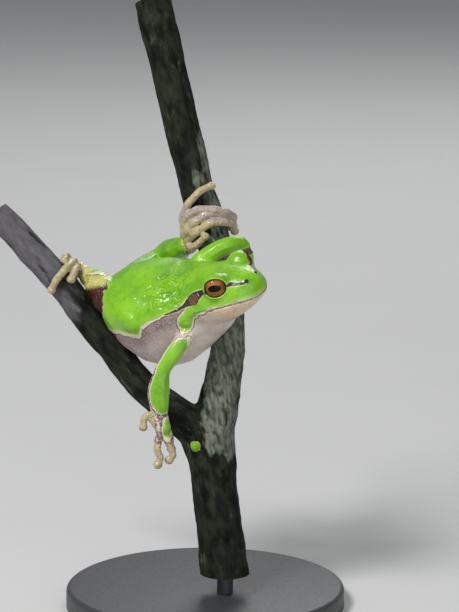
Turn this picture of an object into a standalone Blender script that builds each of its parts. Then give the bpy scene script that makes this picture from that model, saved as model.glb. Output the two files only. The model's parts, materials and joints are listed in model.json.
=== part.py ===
"""A European tree frog that rests in the fork of a twig, life size, on a small display stand.

Places are given as they are seen from the front: across to the right, up, and near to the viewer,
in millimetres. The pose leans back by LEAN, so the frog is seen a little from above.
"""

import math

import bmesh
import bpy
import numpy as np
from mathutils import Matrix, Vector

MM = 0.001
LEAN = math.radians(12)
GAP = 0.3

# Stand
BASE_RADIUS = 28.0
BASE_HEIGHT = 4.0
BASE_EDGE = 1.0
ROD_RADIUS = 1.6
ROD_LENGTH = 4.0
BASE_SHIFT = (-4.0, 5.0)
BASE_STEPS = 48
ROD_STEPS = 24

# Twig: across, up, near and radius of each place on its middle line
STEM_CUT = (-0.9, -53.3, 0.0)
STEM = [
    (-0.8, -56.5, 0.0, 4.95),
    (-1.6, -46.8, 0.0, 4.7),
    (-3.0, -36.0, -0.2, 4.6),
    (-3.4, -30.0, -0.5, 4.9),
    (-4.4, -25.5, -0.8, 5.6),
]
RIGHT_BRANCH = [
    (-3.8, -26.0, -0.8, 4.6),
    (-2.1, -18.8, -1.0, 4.1),
    (-1.2, -13.6, -1.8, 3.8),
    (-0.1, -5.4, -2.9, 3.4),
    (-0.7, 1.2, -3.9, 3.4),
    (-3.3, 14.2, -5.7, 3.5),
    (-7.4, 27.2, -7.5, 3.55),
    (-15.6, 62.2, -12.4, 3.75),
    (-16.2, 64.6, -12.8, 3.75),
]
LEFT_BRANCH = [
    (-4.4, -26.0, -0.8, 4.3),
    (-10.0, -22.2, -1.6, 3.7),
    (-17.1, -16.2, -3.0, 3.1),
    (-25.7, -5.8, -4.4, 2.9),
    (-34.3, 5.0, -5.8, 2.9),
    (-39.9, 11.2, -6.8, 2.85),
    (-47.2, 18.7, -8.0, 2.8),
    (-48.8, 20.4, -8.3, 2.8),
]
TWIG_STEP = 1.5
TWIG_SIDES = 4
TWIG_SLAB = 1.6
TWIG_GRAIN = 0.55
TWIG_SMOOTHING = 6
TWIG_PARTINGS = {"right": -12.5, "left": -14.5}
CUT_AWAY = 8.0
# From which side of each branch the angles of the grips are counted, as seen from the front
RIGHT_BRANCH_SIDE = (-1, 0, 0)
LEFT_BRANCH_SIDE = (0.77, 0.64, 0)
BUD_PLACE = (-6.8, -27.9, 3.9)
BUD_RADII = (0.85, 0.85, 1.1)

# Head, from the middle between the eyes: ahead, to the frog's left, and up
EYE_MIDDLE = (0.1, 6.2, 13.2)
HEAD_AHEAD = (0.76, 0.02, 0.65)
HEAD_LEFT = (0.55, 0.52, -0.655)
SNOUT_TIP = 6.6
MOUTH_LEVEL = -4.1
JAW_CORNER = -5.7
JAW_HALF_WIDTH = 7.3
JAW_POWERS = (2.3, 1.9)
CROWN_HEIGHT = 5.9
CROWN_POWERS = (3, 2.2)
CROWN_PAST = 0.5
THROAT_DEPTH = 6.0
THROAT_POWERS = (1.5, 0.8)
THROAT_PAST = 0.3
HEAD_STATIONS = (0.25, 0.65, 1.35, 2.4, 3.8, 5.6, 7.6, 9.6, 11.6, 13.4, 15.4)
EYE_PLACE = (-0.5, 4.4, -0.2)
EYE_RADIUS = 2.4
EYE_LOOK = (0.50, 0.82, 0.27)
LID_THICKNESS = 0.5
EYE_OPENING = (2.4, 2.75, 2.0)
NOSTRIL_PLACE = (5.0, 1.55, -0.9)
NOSTRIL_RADIUS = 0.45
EAR_PLACE = (-5.4, 6.05, -2.0)
EAR_RADIUS = 1.15
EAR_DEPTH = 0.7
NECK_AHEAD = -7.4
LIP_GROOVE = 0.4
MOUTH_STEPS = 40
MOUTH_STEP = 0.9
MOUTH_INSIDE = 0.25
MOUTH_BEND = 0.75
MOUTH_OUT = 0.02
SOCKET_ROOM = 0.21
FACE_STEPS = 28
NOSTRIL_STEPS = 12
EAR_FACING = (-0.25, 1, 0.25)
HEAD_MIDDLE = (3, 0, 0)
TORSO_MIDDLE = (-15, 0, 4)
# The line of the mouth: distance ahead, and height
MOUTH_CURVE = [(-5.7, -4.4), (-2.5, -4.1), (0.3, -3.8), (3.2, -3.7), (5.3, -4.06), (6.6, -4.4)]

# Trunk, from the back of the head: the widest level of each section
TRUNK_START = (-1.7, 2.3, 7.2)
TRUNK_AHEAD = (0.875, 0.03, 0.483)
TRUNK_LEFT = (0.30, 0.62, -0.72)
# How far back, half width, height above and depth below the widest level
TRUNK_SECTIONS = [
    (-1.5, 6.6, 5.0, 6.0),
    (2.0, 7.0, 5.3, 8.8),
    (6.0, 8.2, 5.5, 11.8),
    (10.0, 9.5, 5.7, 14.2),
    (14.0, 10.2, 5.7, 15.0),
    (18.0, 10.1, 5.5, 13.5),
    (21.5, 8.9, 5.1, 10.2),
    (24.0, 6.9, 4.4, 7.0),
    (26.0, 4.2, 3.0, 4.2),
    (27.0, 1.6, 1.2, 1.6),
]
SHOULDER_PLACE = (-4.5, 5.2, -1.5)
SHOULDER_RADII = (3.4, 3.0, 3.8)
RING_STEPS = 48
BALL_STEPS = 20
BACK_ROUNDNESS = 2.2
BELLY_ROUNDNESS = 2.5

# Limbs: across, up, near and radius of each place on the middle line
RIGHT_ARM = [
    (-6.9, -3.2, 7.5, 2.2),
    (-9.2, -6.6, 8.5, 1.75),
    (-11.5, -10.0, 8.8, 1.7),
    (-13.2, -12.8, 8.4, 1.6),
    (-14.0, -16.6, 7.8, 2.25),
    (-13.9, -19.4, 7.2, 2.0),
    (-13.8, -21.4, 6.6, 1.6),
]
LEFT_ARM = [
    (-5.6, 8.6, 1.6, 2.3),
    (-3.0, 10.7, 2.2, 2.0),
    (-0.2, 12.0, 2.2, 1.85),
    (2.0, 12.3, 1.2, 1.7),
    (3.1, 10.2, -0.4, 1.7),
    (3.5, 7.2, -2.0, 1.5),
    (3.6, 4.8, -3.2, 1.1),
]
RIGHT_THIGH = [
    (-24.6, 1.4, -2.4, 3.1),
    (-22.2, 0.2, 1.0, 3.1),
    (-20.4, -1.7, 3.8, 2.8),
    (-18.9, -3.0, 5.7, 2.4),
]
RIGHT_SHANK = [
    (-21.6, 1.6, -0.6, 2.3),
    (-25.3, 3.2, -3.6, 3.2),
    (-27.0, 4.9, -6.0, 2.7),
    (-28.4, 5.7, -7.0, 1.95),
]
RIGHT_TARSUS = [
    (-28.6, 6.1, -7.1, 1.8),
    (-29.9, 7.1, -8.3, 1.5),
    (-31.2, 8.3, -9.3, 1.3),
]
LEFT_THIGH = [
    (-19.8, 4.8, -5.2, 3.3),
    (-17.6, 6.4, -12.0, 3.5),
    (-15.2, 8.6, -19.0, 2.9),
    (-14.0, 9.6, -22.6, 2.6),
]
LEFT_SHANK = [
    (-14.4, 8.8, -22.4, 2.7),
    (-12.4, 10.3, -18.0, 3.2),
    (-10.4, 11.5, -13.0, 2.6),
    (-9.0, 12.1, -9.8, 2.0),
]
LEFT_TARSUS = [
    (-8.1, 12.2, -9.3, 1.7),
    (-7.7, 13.9, -7.2, 1.4),
    (-8.1, 15.6, -5.2, 1.25),
]

# Digits and their discs
FINGER_RADIUS = 0.74
TOE_RADIUS = 0.8
DISC_RADIUS = 0.95
DIGIT_STEP = 0.5
DIGIT_ENDS = (1.12, 0.9)
DISC_FLATNESS = 0.9
ROOT_SHARE = 1.2
DIGIT_ROOM = 0.05
SOLE_RADIUS = 1.35
RIGHT_PALM = (-13.3, -24.0, 6.0, 1.7)
RIGHT_FINGERS = [
    [(-14.6, -23.4, 6.3), (-15.9, -21.6, 6.7), (-16.9, -22.4, 6.7), (-17.1, -24.0, 6.5)],
    [
        (-13.7, -25.2, 6.1), (-14.2, -26.9, 6.3), (-14.3, -28.5, 6.6),
        (-13.7, -30.0, 6.4), (-14.2, -31.5, 6.3),
    ],
    [
        (-12.9, -25.0, 6.0), (-12.3, -26.6, 5.8), (-11.6, -28.2, 5.5),
        (-11.2, -29.6, 5.2), (-12.0, -30.6, 5.0),
    ],
    [(-12.6, -24.4, 4.9), (-11.9, -25.8, 3.7), (-11.8, -27.2, 3.2), (-11.6, -28.4, 3.2)],
]
# Each digit that grips: place along the branch, angle round it and lift off the bark
LEFT_PALM = (2.4, 200, 0.6)
LEFT_FINGERS = [
    [(2.8, 192, 0.5), (3.4, 150, 0.3), (3.5, 112, 0.1), (3.4, 82, 0.05)],
    [(2.0, 192, 0.5), (1.6, 150, 0.3), (1.3, 112, 0.1), (1.0, 74, 0.05)],
    [(2.5, 208, 0.5), (3.2, 240, 0.3), (3.5, 268, 0.1), (3.6, 295, 0.05)],
    [(2.0, 208, 0.5), (1.2, 240, 0.3), (0.9, 268, 0.1), (0.6, 300, 0.05)],
]
LEFT_SOLE = (15.9, 12, 0.6)
LEFT_TOES = [
    [(17.2, 10, 0.5), (19.3, 25, 0.45), (21.0, 55, 0.3), (22.2, 92, 0.1), (22.9, 126, 0.05)],
    [
        (17.2, 14, 0.6), (18.7, 45, 0.6), (19.1, 75, 0.6), (18.1, 110, 0.6),
        (17.1, 140, 0.6), (16.3, 175, 0.4), (15.6, 210, 0.1),
    ],
    [
        (16.0, 14, 0.5), (16.9, 50, 0.5), (17.6, 88, 0.3), (17.1, 130, 0.2),
        (16.4, 160, 0.15), (15.0, 212, 0.05),
    ],
    [
        (14.7, 14, 0.5), (15.1, 48, 0.3), (15.9, 90, 0.15), (15.7, 125, 0.1),
        (15.1, 160, 0.1), (14.3, 200, 0.05),
    ],
    [(14.2, 4, 0.6), (12.7, 18, 0.3), (12.8, 42, 0.1), (13.7, 70, 0.05)],
]
RIGHT_SOLE = (-34.9, -46, 1.3)
# The skin between the roots of the toes: height up the branch, angle and lift, and radius
LEFT_WEB = (16.2, 34, 0.2, 1.5)
RIGHT_WEB = (-34.8, -20, 0.6, 0.9)
RIGHT_TOES = [
    [
        (-34.9, -40, 1.2), (-35.0, -5, 0.7), (-34.6, 50, 0.15),
        (-34.2, 92, 0.05), (-33.9, 122, 0.05),
    ],
    [(-34.8, -35, 0.9), (-34.5, 0, 0.3), (-33.7, 34, 0.1), (-33.2, 58, 0.05)],
    [(-35.6, -40, 1.0), (-36.2, -15, 0.4), (-36.1, 8, 0.1), (-35.9, 28, 0.05)],
    [(-35.8, -55, 0.9), (-36.6, -75, 0.3), (-36.9, -95, 0.1), (-37.0, -115, 0.05)],
    [(-34.0, -55, 0.9), (-33.8, -75, 0.3), (-33.6, -95, 0.1), (-33.4, -115, 0.05)],
]

# Where limbs are parted, how fine the flesh is modelled, and each node's grain and triangles
LIMB_SLAB = 1.7
ELBOW_PART = 0.5
ANKLE_PARTS = {"right": 0.08, "left": 0.35}
PARTING_STEP = 0.2
NECK_REACH = 20.0
WRIST_PART = 0.93
PLAIN_TRIANGLES = 6000
PLAIN_GRAIN = 0.3
FLESH_GRAIN = 0.36
LIMB_GRAIN = 0.25
FLESH_SMOOTHING = 14
LIMB_SMOOTHING = 4
THINNING_RETRY = 1.06
LEAST_PIECE = 0.2
DETAIL = {
    "head": (0.15, 4000),
    "torso": (0.25, 1200),
    "upper_arm": (0.18, 300),
    "forearm": (0.18, 300),
    "hand": (0.14, 720),
    "thigh": (0.2, 400),
    "shank": (0.18, 450),
    "foot": (0.14, 940),
    "perch": (0.4, 420),
}

GREEN = (0.20, 0.52, 0.02, 1.0)
DIGIT_TAN = (0.52, 0.42, 0.26, 1.0)
EYE_GOLD = (0.30, 0.14, 0.05, 1.0)
BARK_GREY = (0.07, 0.08, 0.07, 1.0)
STAND_GREY = (0.05, 0.05, 0.055, 1.0)


def clear_scene():
    for obj in list(bpy.data.objects):
        bpy.data.objects.remove(obj)


def new_collection(name):
    collection = bpy.data.collections.new(name)
    bpy.context.scene.collection.children.link(collection)
    return collection


def material(name, colour, roughness, metallic=0.0):
    made = bpy.data.materials.new(name)
    made.use_nodes = True
    shader = made.node_tree.nodes["Principled BSDF"]
    shader.inputs["Base Color"].default_value = colour
    shader.inputs["Roughness"].default_value = roughness
    shader.inputs["Metallic"].default_value = metallic
    return made


def turned(across, up, near):
    """A direction as it is seen from the front, in world axes."""
    return Vector(
        (
            across,
            up * math.sin(LEAN) - near * math.cos(LEAN),
            up * math.cos(LEAN) + near * math.sin(LEAN),
        )
    )


STEM_FOOT = turned(*STEM_CUT)
ROD_TOP = Vector((-BASE_SHIFT[0], -BASE_SHIFT[1], BASE_HEIGHT + ROD_LENGTH))
SHIFT = ROD_TOP - STEM_FOOT


def seen(across, up, near):
    """A place as it is seen from the front, in world metres from the middle of the base's underside."""
    return (turned(across, up, near) + SHIFT) * MM


class Frame:
    """A right-handed set of axes for a part of the body: ahead, to its left, and up."""

    def __init__(self, origin, ahead, left):
        self.origin = seen(*origin)
        self.ahead = turned(*ahead).normalized()
        rough_left = turned(*left)
        self.left = (rough_left - self.ahead * rough_left.dot(self.ahead)).normalized()
        self.up = self.ahead.cross(self.left)

    def way(self, ahead, left, up):
        return self.ahead * ahead + self.left * left + self.up * up

    def place(self, ahead, left, up):
        return self.origin + self.way(ahead, left, up) * MM


HEAD = Frame(EYE_MIDDLE, HEAD_AHEAD, HEAD_LEFT)
TRUNK = Frame(TRUNK_START, TRUNK_AHEAD, TRUNK_LEFT)


def put(name, mesh, collection):
    obj = bpy.data.objects.new(name, mesh)
    collection.objects.link(obj)
    return obj


def baked(obj):
    """The object's mesh with its modifiers applied, in place of its own."""
    graph = bpy.context.evaluated_depsgraph_get()
    graph.update()
    mesh = bpy.data.meshes.new_from_object(obj.evaluated_get(graph))
    obj.modifiers.clear()
    obj.data = mesh
    return obj


def smooth_path(places, step=0.8):
    """Places with radii read from a smooth curve through the given ones, about a step apart."""
    points = [np.array([*place[:3], place[3]]) for place in places]
    padded = [2 * points[0] - points[1], *points, 2 * points[-1] - points[-2]]
    path = []
    for before, start, end, after in zip(padded, padded[1:], padded[2:], padded[3:]):
        count = max(2, round(np.linalg.norm((end - start)[:3]) / step))
        for i in range(count):
            t = i / count
            path.append(
                0.5
                * (
                    2 * start
                    + (end - before) * t
                    + (2 * before - 5 * start + 4 * end - after) * t**2
                    + (3 * start - before - 3 * end + after) * t**3
                )
            )
    path.append(points[-1])
    return path


def tube(name, path, collection, sides=3):
    """A tube along a path of places in millimetres with radii, as a closed mesh."""
    curve = bpy.data.curves.new(name, "CURVE")
    curve.dimensions = "3D"
    curve.bevel_depth = MM
    curve.bevel_resolution = sides
    curve.use_fill_caps = True
    spline = curve.splines.new("POLY")
    spline.points.add(len(path) - 1)
    for point, place in zip(spline.points, path):
        point.co = (*seen(*place[:3]), 1)
        point.radius = place[3]
    guide = put(name + "_curve", curve, collection)
    graph = bpy.context.evaluated_depsgraph_get()
    mesh = bpy.data.meshes.new_from_object(guide.evaluated_get(graph))
    bpy.data.objects.remove(guide)
    shape = bmesh.new()
    shape.from_mesh(mesh)
    bmesh.ops.remove_doubles(shape, verts=shape.verts, dist=1e-7)
    shape.to_mesh(mesh)
    shape.free()
    return put(name, mesh, collection)


def ball(name, centre, radii, collection, axes=None, segments=BALL_STEPS):
    """A ball, or an ellipsoid with one radius along each of three axes."""
    shape = bmesh.new()
    bmesh.ops.create_uvsphere(shape, u_segments=segments, v_segments=segments // 2, radius=1)
    turn = Matrix(axes).transposed() if axes else Matrix.Identity(3)
    scale = Matrix.Diagonal(Vector(radii) * MM)
    bmesh.ops.transform(shape, matrix=(turn @ scale).to_4x4(), verts=shape.verts)
    bmesh.ops.translate(shape, vec=centre, verts=shape.verts)
    bmesh.ops.recalc_face_normals(shape, faces=shape.faces)
    mesh = bpy.data.meshes.new(name)
    shape.to_mesh(mesh)
    shape.free()
    return put(name, mesh, collection)


def limb(name, places, collection):
    """A tube through the places with a ball at each end."""
    path = smooth_path(places)
    pieces = [tube(name, path, collection)]
    for end in (path[0], path[-1]):
        pieces.append(ball(name + "_end", seen(*end[:3]), [end[3]] * 3, collection))
    return pieces


def branch_axis(branch, key, value):
    """The place, the way along and the radius of a branch where its across or up is a value."""
    path = smooth_path(branch, 0.5)
    nearest = min(range(1, len(path) - 1), key=lambda i: abs(path[i][key] - value))
    place = path[nearest]
    along = turned(*(path[nearest + 1] - path[nearest - 1])[:3]).normalized()
    return seen(*place[:3]), along, place[3]


def grip_place(branch, key, side, value, angle, lift, digit):
    """A place beside a branch, at an angle from one side round by the front, clear of the bark."""
    middle, along, radius = branch_axis(branch, key, value)
    near = turned(0, 0, 1)
    near = (near - along * near.dot(along)).normalized()
    aside = near.cross(along).normalized()
    if aside.dot(turned(*side)) < 0:
        aside = -aside
    turn = math.radians(angle)
    reach = radius + GAP + DIGIT_ROOM + digit + lift
    return middle + (aside * math.cos(turn) + near * math.sin(turn)) * reach * MM


def seen_from(place):
    """The opposite of seen: a world place as across, up and near in millimetres."""
    local = Vector(place) / MM - SHIFT
    up = local.y * math.sin(LEAN) + local.z * math.cos(LEAN)
    near = local.z * math.sin(LEAN) - local.y * math.cos(LEAN)
    return (local.x, up, near)


def digit(name, places, radius, collection):
    """A finger or toe with swollen knuckles, and a disc on its tip."""
    rows = []
    for i, place in enumerate(places):
        taper = DIGIT_ENDS[0] + (DIGIT_ENDS[1] - DIGIT_ENDS[0]) * i / (len(places) - 1)
        rows.append((*place, radius * taper))
    path = smooth_path(rows, DIGIT_STEP)
    pieces = [tube(name, path, collection, 2)]
    disc = [DISC_RADIUS, DISC_RADIUS, DISC_RADIUS * DISC_FLATNESS]
    pieces.append(ball(name + "_disc", seen(*path[-1][:3]), disc, collection))
    pieces.append(ball(name + "_root", seen(*path[0][:3]), [radius * ROOT_SHARE] * 3, collection))
    return pieces


def fused(name, pieces, grain, smoothing, collection):
    """One skin round all the pieces."""
    shape = bmesh.new()
    for piece in pieces:
        shape.from_mesh(piece.data)
        bpy.data.objects.remove(piece)
    mesh = bpy.data.meshes.new(name)
    shape.to_mesh(mesh)
    shape.free()
    body = put(name, mesh, collection)
    grid = body.modifiers.new("Fuse", "REMESH")
    grid.mode = "VOXEL"
    grid.voxel_size = grain * MM
    if smoothing:
        soften = body.modifiers.new("Soften", "SMOOTH")
        soften.factor = 0.5
        soften.iterations = smoothing
    return baked(body)


def surfaces(shape):
    """The separate surfaces of a mesh, each as its points."""
    found = []
    reached = set()
    for start in shape.verts:
        if start in reached:
            continue
        reached.add(start)
        surface = [start]
        for vert in surface:
            for edge in vert.link_edges:
                other = edge.other_vert(vert)
                if other not in reached:
                    reached.add(other)
                    surface.append(other)
        found.append(surface)
    return found


def faces_of(surface):
    return list(dict.fromkeys(face for vert in surface for face in vert.link_faces))


def largest(obj):
    """Keeps only the largest closed surface."""
    shape = bmesh.new()
    shape.from_mesh(obj.data)
    found = surfaces(shape)
    keep = max(found, key=enclosed)
    loose = [vert for surface in found if surface is not keep for vert in surface]
    bmesh.ops.delete(shape, geom=loose, context="VERTS")
    shape.to_mesh(obj.data)
    shape.free()
    return obj


def enclosed(surface):
    """The volume inside a closed surface."""
    total = 0.0
    for face in faces_of(surface):
        corners = [vert.co for vert in face.verts]
        for second, third in zip(corners[1:], corners[2:]):
            total += corners[0].dot(second.cross(third)) / 6
    return total


def carved(obj, cutter, operation="DIFFERENCE"):
    """A Boolean with the cutter, applied. The cutter stays."""
    change = obj.modifiers.new("Cut", "BOOLEAN")
    change.operation = operation
    change.solver = "MANIFOLD"
    change.object = cutter
    return baked(obj)


def swollen(obj, distance, collection):
    """A copy whose surface stands off by a distance."""
    copy = put(obj.name + "_clear", obj.data.copy(), collection)
    grow = copy.modifiers.new("Grow", "DISPLACE")
    grow.mid_level = 0
    grow.strength = distance * MM
    return baked(copy)


def is_closed(mesh):
    shape = bmesh.new()
    shape.from_mesh(mesh)
    sound = all(edge.is_manifold for edge in shape.edges)
    shape.free()
    return sound


def evened(obj, grain):
    """A fresh even mesh over the same skin, without the thin faces that cuts leave."""
    grid = obj.modifiers.new("Even", "REMESH")
    grid.mode = "VOXEL"
    grid.voxel_size = grain * MM
    return baked(obj)


def thinned(obj, grain, triangles):
    """Keeps about a number of triangles, a few more where the thinner mesh would open."""
    full = evened(obj, grain).data
    full.calc_loop_triangles()
    now = len(full.loop_triangles)
    while now > triangles:
        reduce = obj.modifiers.new("Thin", "DECIMATE")
        reduce.ratio = triangles / now
        reduce.use_collapse_triangulate = True
        baked(obj)
        if is_closed(obj.data):
            break
        obj.data = full
        triangles *= THINNING_RETRY
    return obj


def slab(name, centre, normal, radius, collection, thickness=GAP):
    """A thin disc that parts a shape square to a direction."""
    shape = bmesh.new()
    turn = Vector(normal).to_track_quat("Z", "Y").to_matrix().to_4x4()
    bmesh.ops.create_cone(
        shape,
        cap_ends=True,
        segments=24,
        radius1=radius * MM,
        radius2=radius * MM,
        depth=thickness * MM,
        matrix=Matrix.Translation(centre) @ turn,
    )
    mesh = bpy.data.meshes.new(name)
    shape.to_mesh(mesh)
    shape.free()
    return put(name, mesh, collection)


def away(name, place, way, collection):
    """What cuts a shape off flat at a place, and all that lies beyond it."""
    return slab(name, place + way * CUT_AWAY / 2 * MM, way, CUT_AWAY, collection, CUT_AWAY)


def pieces_of(obj, collection):
    """Each closed piece of a shape that was cut, as an object of its own."""
    shape = bmesh.new()
    shape.from_mesh(obj.data)
    found = []
    for surface in surfaces(shape):
        if enclosed(surface) < LEAST_PIECE * MM**3:
            continue
        part = bmesh.new()
        places = {vert: part.verts.new(vert.co) for vert in surface}
        for face in faces_of(surface):
            part.faces.new([places[vert] for vert in face.verts])
        mesh = bpy.data.meshes.new(obj.name)
        part.to_mesh(mesh)
        part.free()
        found.append(put(obj.name, mesh, collection))
    shape.free()
    bpy.data.objects.remove(obj)
    return found


def trunk_outline(back, half_width, above, below):
    """The ring of one trunk section, superelliptic, deeper below its widest level."""
    ring = []
    for i in range(RING_STEPS):
        turn = 2 * math.pi * i / RING_STEPS
        side, height = math.cos(turn), math.sin(turn)
        power = 2 / (BACK_ROUNDNESS if height > 0 else BELLY_ROUNDNESS)
        reach = above if height > 0 else below
        left = half_width * math.copysign(abs(side) ** power, side)
        up = reach * math.copysign(abs(height) ** power, height)
        ring.append(TRUNK.place(-back, left, up))
    return ring


def jaw_half_width(ahead):
    part = max(0.0, (ahead - JAW_CORNER) / (SNOUT_TIP - JAW_CORNER))
    return JAW_HALF_WIDTH * max(0.0, 1 - part ** JAW_POWERS[0]) ** (1 / JAW_POWERS[1])


def crown_height(ahead):
    part = max(0.0, (ahead - JAW_CORNER) / (SNOUT_TIP + CROWN_PAST - JAW_CORNER))
    return CROWN_HEIGHT * max(0.0, 1 - part ** CROWN_POWERS[0]) ** (1 / CROWN_POWERS[1])


def throat_depth(ahead):
    part = max(0.0, (ahead - JAW_CORNER) / (SNOUT_TIP + THROAT_PAST - JAW_CORNER))
    return THROAT_DEPTH * max(0.0, 1 - part ** THROAT_POWERS[0]) ** THROAT_POWERS[1]


def head_outline(ahead):
    """The ring of one head section, round its widest level at the mouth."""
    half_width = jaw_half_width(ahead)
    ring = []
    for i in range(RING_STEPS):
        turn = 2 * math.pi * i / RING_STEPS
        side, height = math.cos(turn), math.sin(turn)
        reach = crown_height(ahead) if height > 0 else throat_depth(ahead)
        ring.append(HEAD.place(ahead, half_width * side, MOUTH_LEVEL + reach * height))
    return ring


def lofted(name, rings, collection):
    """A closed skin through rings of equal count, with flat ends."""
    shape = bmesh.new()
    rows = [[shape.verts.new(place) for place in ring] for ring in rings]
    for row, following in zip(rows, rows[1:]):
        for i in range(len(row)):
            j = (i + 1) % len(row)
            shape.faces.new((row[i], row[j], following[j], following[i]))
    shape.faces.new(rows[0])
    shape.faces.new(list(reversed(rows[-1])))
    bmesh.ops.recalc_face_normals(shape, faces=shape.faces)
    mesh = bpy.data.meshes.new(name)
    shape.to_mesh(mesh)
    shape.free()
    return put(name, mesh, collection)


def eye_axes(side):
    """Where an eye looks, with two axes square to it: along the lids and up."""
    look = HEAD.way(EYE_LOOK[0], side * EYE_LOOK[1], EYE_LOOK[2]).normalized()
    along = (HEAD.ahead - look * HEAD.ahead.dot(look)).normalized()
    return look, along, along.cross(look) * side


def eye_centre(side):
    return HEAD.place(EYE_PLACE[0], side * EYE_PLACE[1], EYE_PLACE[2])


def mouth_path():
    """The line of the mouth, from one corner round the snout to the other."""
    places = []
    for i in range(MOUTH_STEPS + 1):
        turn = math.pi * i / MOUTH_STEPS
        ahead = JAW_CORNER + (SNOUT_TIP - MOUTH_INSIDE - JAW_CORNER) * math.sin(turn) ** MOUTH_BEND
        side = 1 if turn < math.pi / 2 else -1
        out = side * (jaw_half_width(ahead) + MOUTH_OUT)
        level = np.interp(ahead, *np.array(MOUTH_CURVE).T)
        places.append((*seen_from(HEAD.place(ahead, out, level)), LIP_GROOVE))
    return places


def body_shape(helpers):
    """Head and trunk in one smooth skin."""
    stations = [SNOUT_TIP - back for back in HEAD_STATIONS]
    pieces = [
        lofted("head_form", [head_outline(a) for a in stations], helpers),
        lofted("trunk_form", [trunk_outline(*row) for row in TRUNK_SECTIONS], helpers),
    ]
    for side in (1, -1):
        pieces.append(ball("brow", eye_centre(side), [EYE_RADIUS + LID_THICKNESS] * 3, helpers))
        ahead, out, up = SHOULDER_PLACE
        pieces.append(ball("shoulder", TRUNK.place(ahead, side * out, up), SHOULDER_RADII, helpers))
    return fused("body", pieces, FLESH_GRAIN, FLESH_SMOOTHING, helpers)


def cut_face(body, helpers):
    """Eye sockets with their lid openings, nostrils, ears and the line of the mouth."""
    for side in (1, -1):
        centre = eye_centre(side)
        look, along, above = eye_axes(side)
        socket = ball("socket", centre, [EYE_RADIUS + SOCKET_ROOM] * 3, helpers, segments=FACE_STEPS)
        opening = ball(
            "opening",
            centre + look * EYE_RADIUS * MM,
            EYE_OPENING,
            helpers,
            (look, along, above),
            FACE_STEPS,
        )
        ahead, out, up = NOSTRIL_PLACE
        place = HEAD.place(ahead, side * out, up)
        nostril = ball("nostril", place, [NOSTRIL_RADIUS] * 3, helpers, segments=NOSTRIL_STEPS)
        ahead, out, up = EAR_PLACE
        face = HEAD.way(EAR_FACING[0], side * EAR_FACING[1], EAR_FACING[2]).normalized()
        across = (HEAD.ahead - face * HEAD.ahead.dot(face)).normalized()
        ear = ball(
            "ear",
            HEAD.place(ahead, side * out, up),
            [EAR_DEPTH, EAR_RADIUS, EAR_RADIUS],
            helpers,
            (face, across, face.cross(across)),
        )
        for cutter in (socket, opening, nostril, ear):
            carved(body, cutter)
            bpy.data.objects.remove(cutter)
    groove = tube("mouth_line", smooth_path(mouth_path(), MOUTH_STEP), helpers, 1)
    carved(body, groove)
    bpy.data.objects.remove(groove)
    return largest(body)


def nearest_named(pieces, places):
    """For each named place, the piece whose skin comes nearest to it."""
    named = {}
    for name, place in places.items():
        distances = [min((vert.co - place).length for vert in piece.data.vertices) for piece in pieces]
        named[name] = pieces[distances.index(min(distances))]
    return named


def part_at(obj, cuts, names, helpers):
    """Cuts a shape with slabs, and names its pieces by the places that they hold."""
    for cut in cuts:
        carved(obj, cut)
        bpy.data.objects.remove(cut)
    pieces = pieces_of(obj, helpers)
    named = nearest_named(pieces, names)
    for piece in pieces:
        if piece not in named.values():
            bpy.data.objects.remove(piece)
    return named


def along_path(places, part):
    """A place and the way along at a part of a limb's length."""
    path = smooth_path(places, PARTING_STEP)
    index = min(len(path) - 2, max(1, round(part * (len(path) - 1))))
    way = turned(*(path[index + 1] - path[index - 1])[:3]).normalized()
    return seen(*path[index][:3]), way, path[index][3]


def limb_slab(places, part, helpers):
    place, way, radius = along_path(places, part)
    return slab("parting", place, way, radius * LIMB_SLAB, helpers)


def right_hand(helpers):
    pieces = limb("palm", [RIGHT_ARM[-1], RIGHT_PALM], helpers)
    for number, places in enumerate(RIGHT_FINGERS):
        pieces += digit(f"finger_{number}", places, FINGER_RADIUS, helpers)
    return pieces


def gripping(branch, key, side, sole, digits, radius, wrist, helpers, web=None):
    """A hand or foot whose digits wrap a branch."""
    middle = seen_from(grip_place(branch, key, side, sole[0], sole[1], sole[2], radius))
    pieces = limb("sole", [wrist, (*middle, SOLE_RADIUS)], helpers)
    if web:
        beyond = seen_from(grip_place(branch, key, side, *web[:3], radius))
        pieces += limb("web", [(*middle, SOLE_RADIUS), (*beyond, web[3])], helpers)
    for number, rows in enumerate(digits):
        places = [seen_from(grip_place(branch, key, side, *row, radius)) for row in rows]
        pieces += digit(f"digit_{number}", places, radius, helpers)
    return pieces


def twig(helpers):
    """The forked twig in three lengths."""
    pieces = []
    for name, places in (("stem", STEM), ("right", RIGHT_BRANCH), ("left", LEFT_BRANCH)):
        pieces.append(tube(name, smooth_path(places, TWIG_STEP), helpers, TWIG_SIDES))
    pieces.append(ball("bud", seen(*BUD_PLACE), BUD_RADII, helpers))
    whole = fused("twig", pieces, TWIG_GRAIN, TWIG_SMOOTHING, helpers)
    clear = swollen(whole, GAP, helpers)
    cuts = [away("foot", seen(*STEM_CUT), Vector((0, 0, -1)), helpers)]
    for branch in (RIGHT_BRANCH, LEFT_BRANCH):
        tip, before = turned(*branch[-1][:3]), turned(*branch[-2][:3])
        cuts.append(away("tip", seen(*branch[-2][:3]), (tip - before).normalized(), helpers))
    for branch, key, value in (
        (RIGHT_BRANCH, 1, TWIG_PARTINGS["right"]),
        (LEFT_BRANCH, 0, TWIG_PARTINGS["left"]),
    ):
        middle, along, radius = branch_axis(branch, key, value)
        cuts.append(slab("parting", middle, along, radius * TWIG_SLAB, helpers))
    names = {
        "perch_stem": seen(*STEM[2][:3]),
        "perch_branch_right": seen(*RIGHT_BRANCH[5][:3]),
        "perch_branch_left": seen(*LEFT_BRANCH[5][:3]),
    }
    return part_at(whole, cuts, names, helpers), clear


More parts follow.
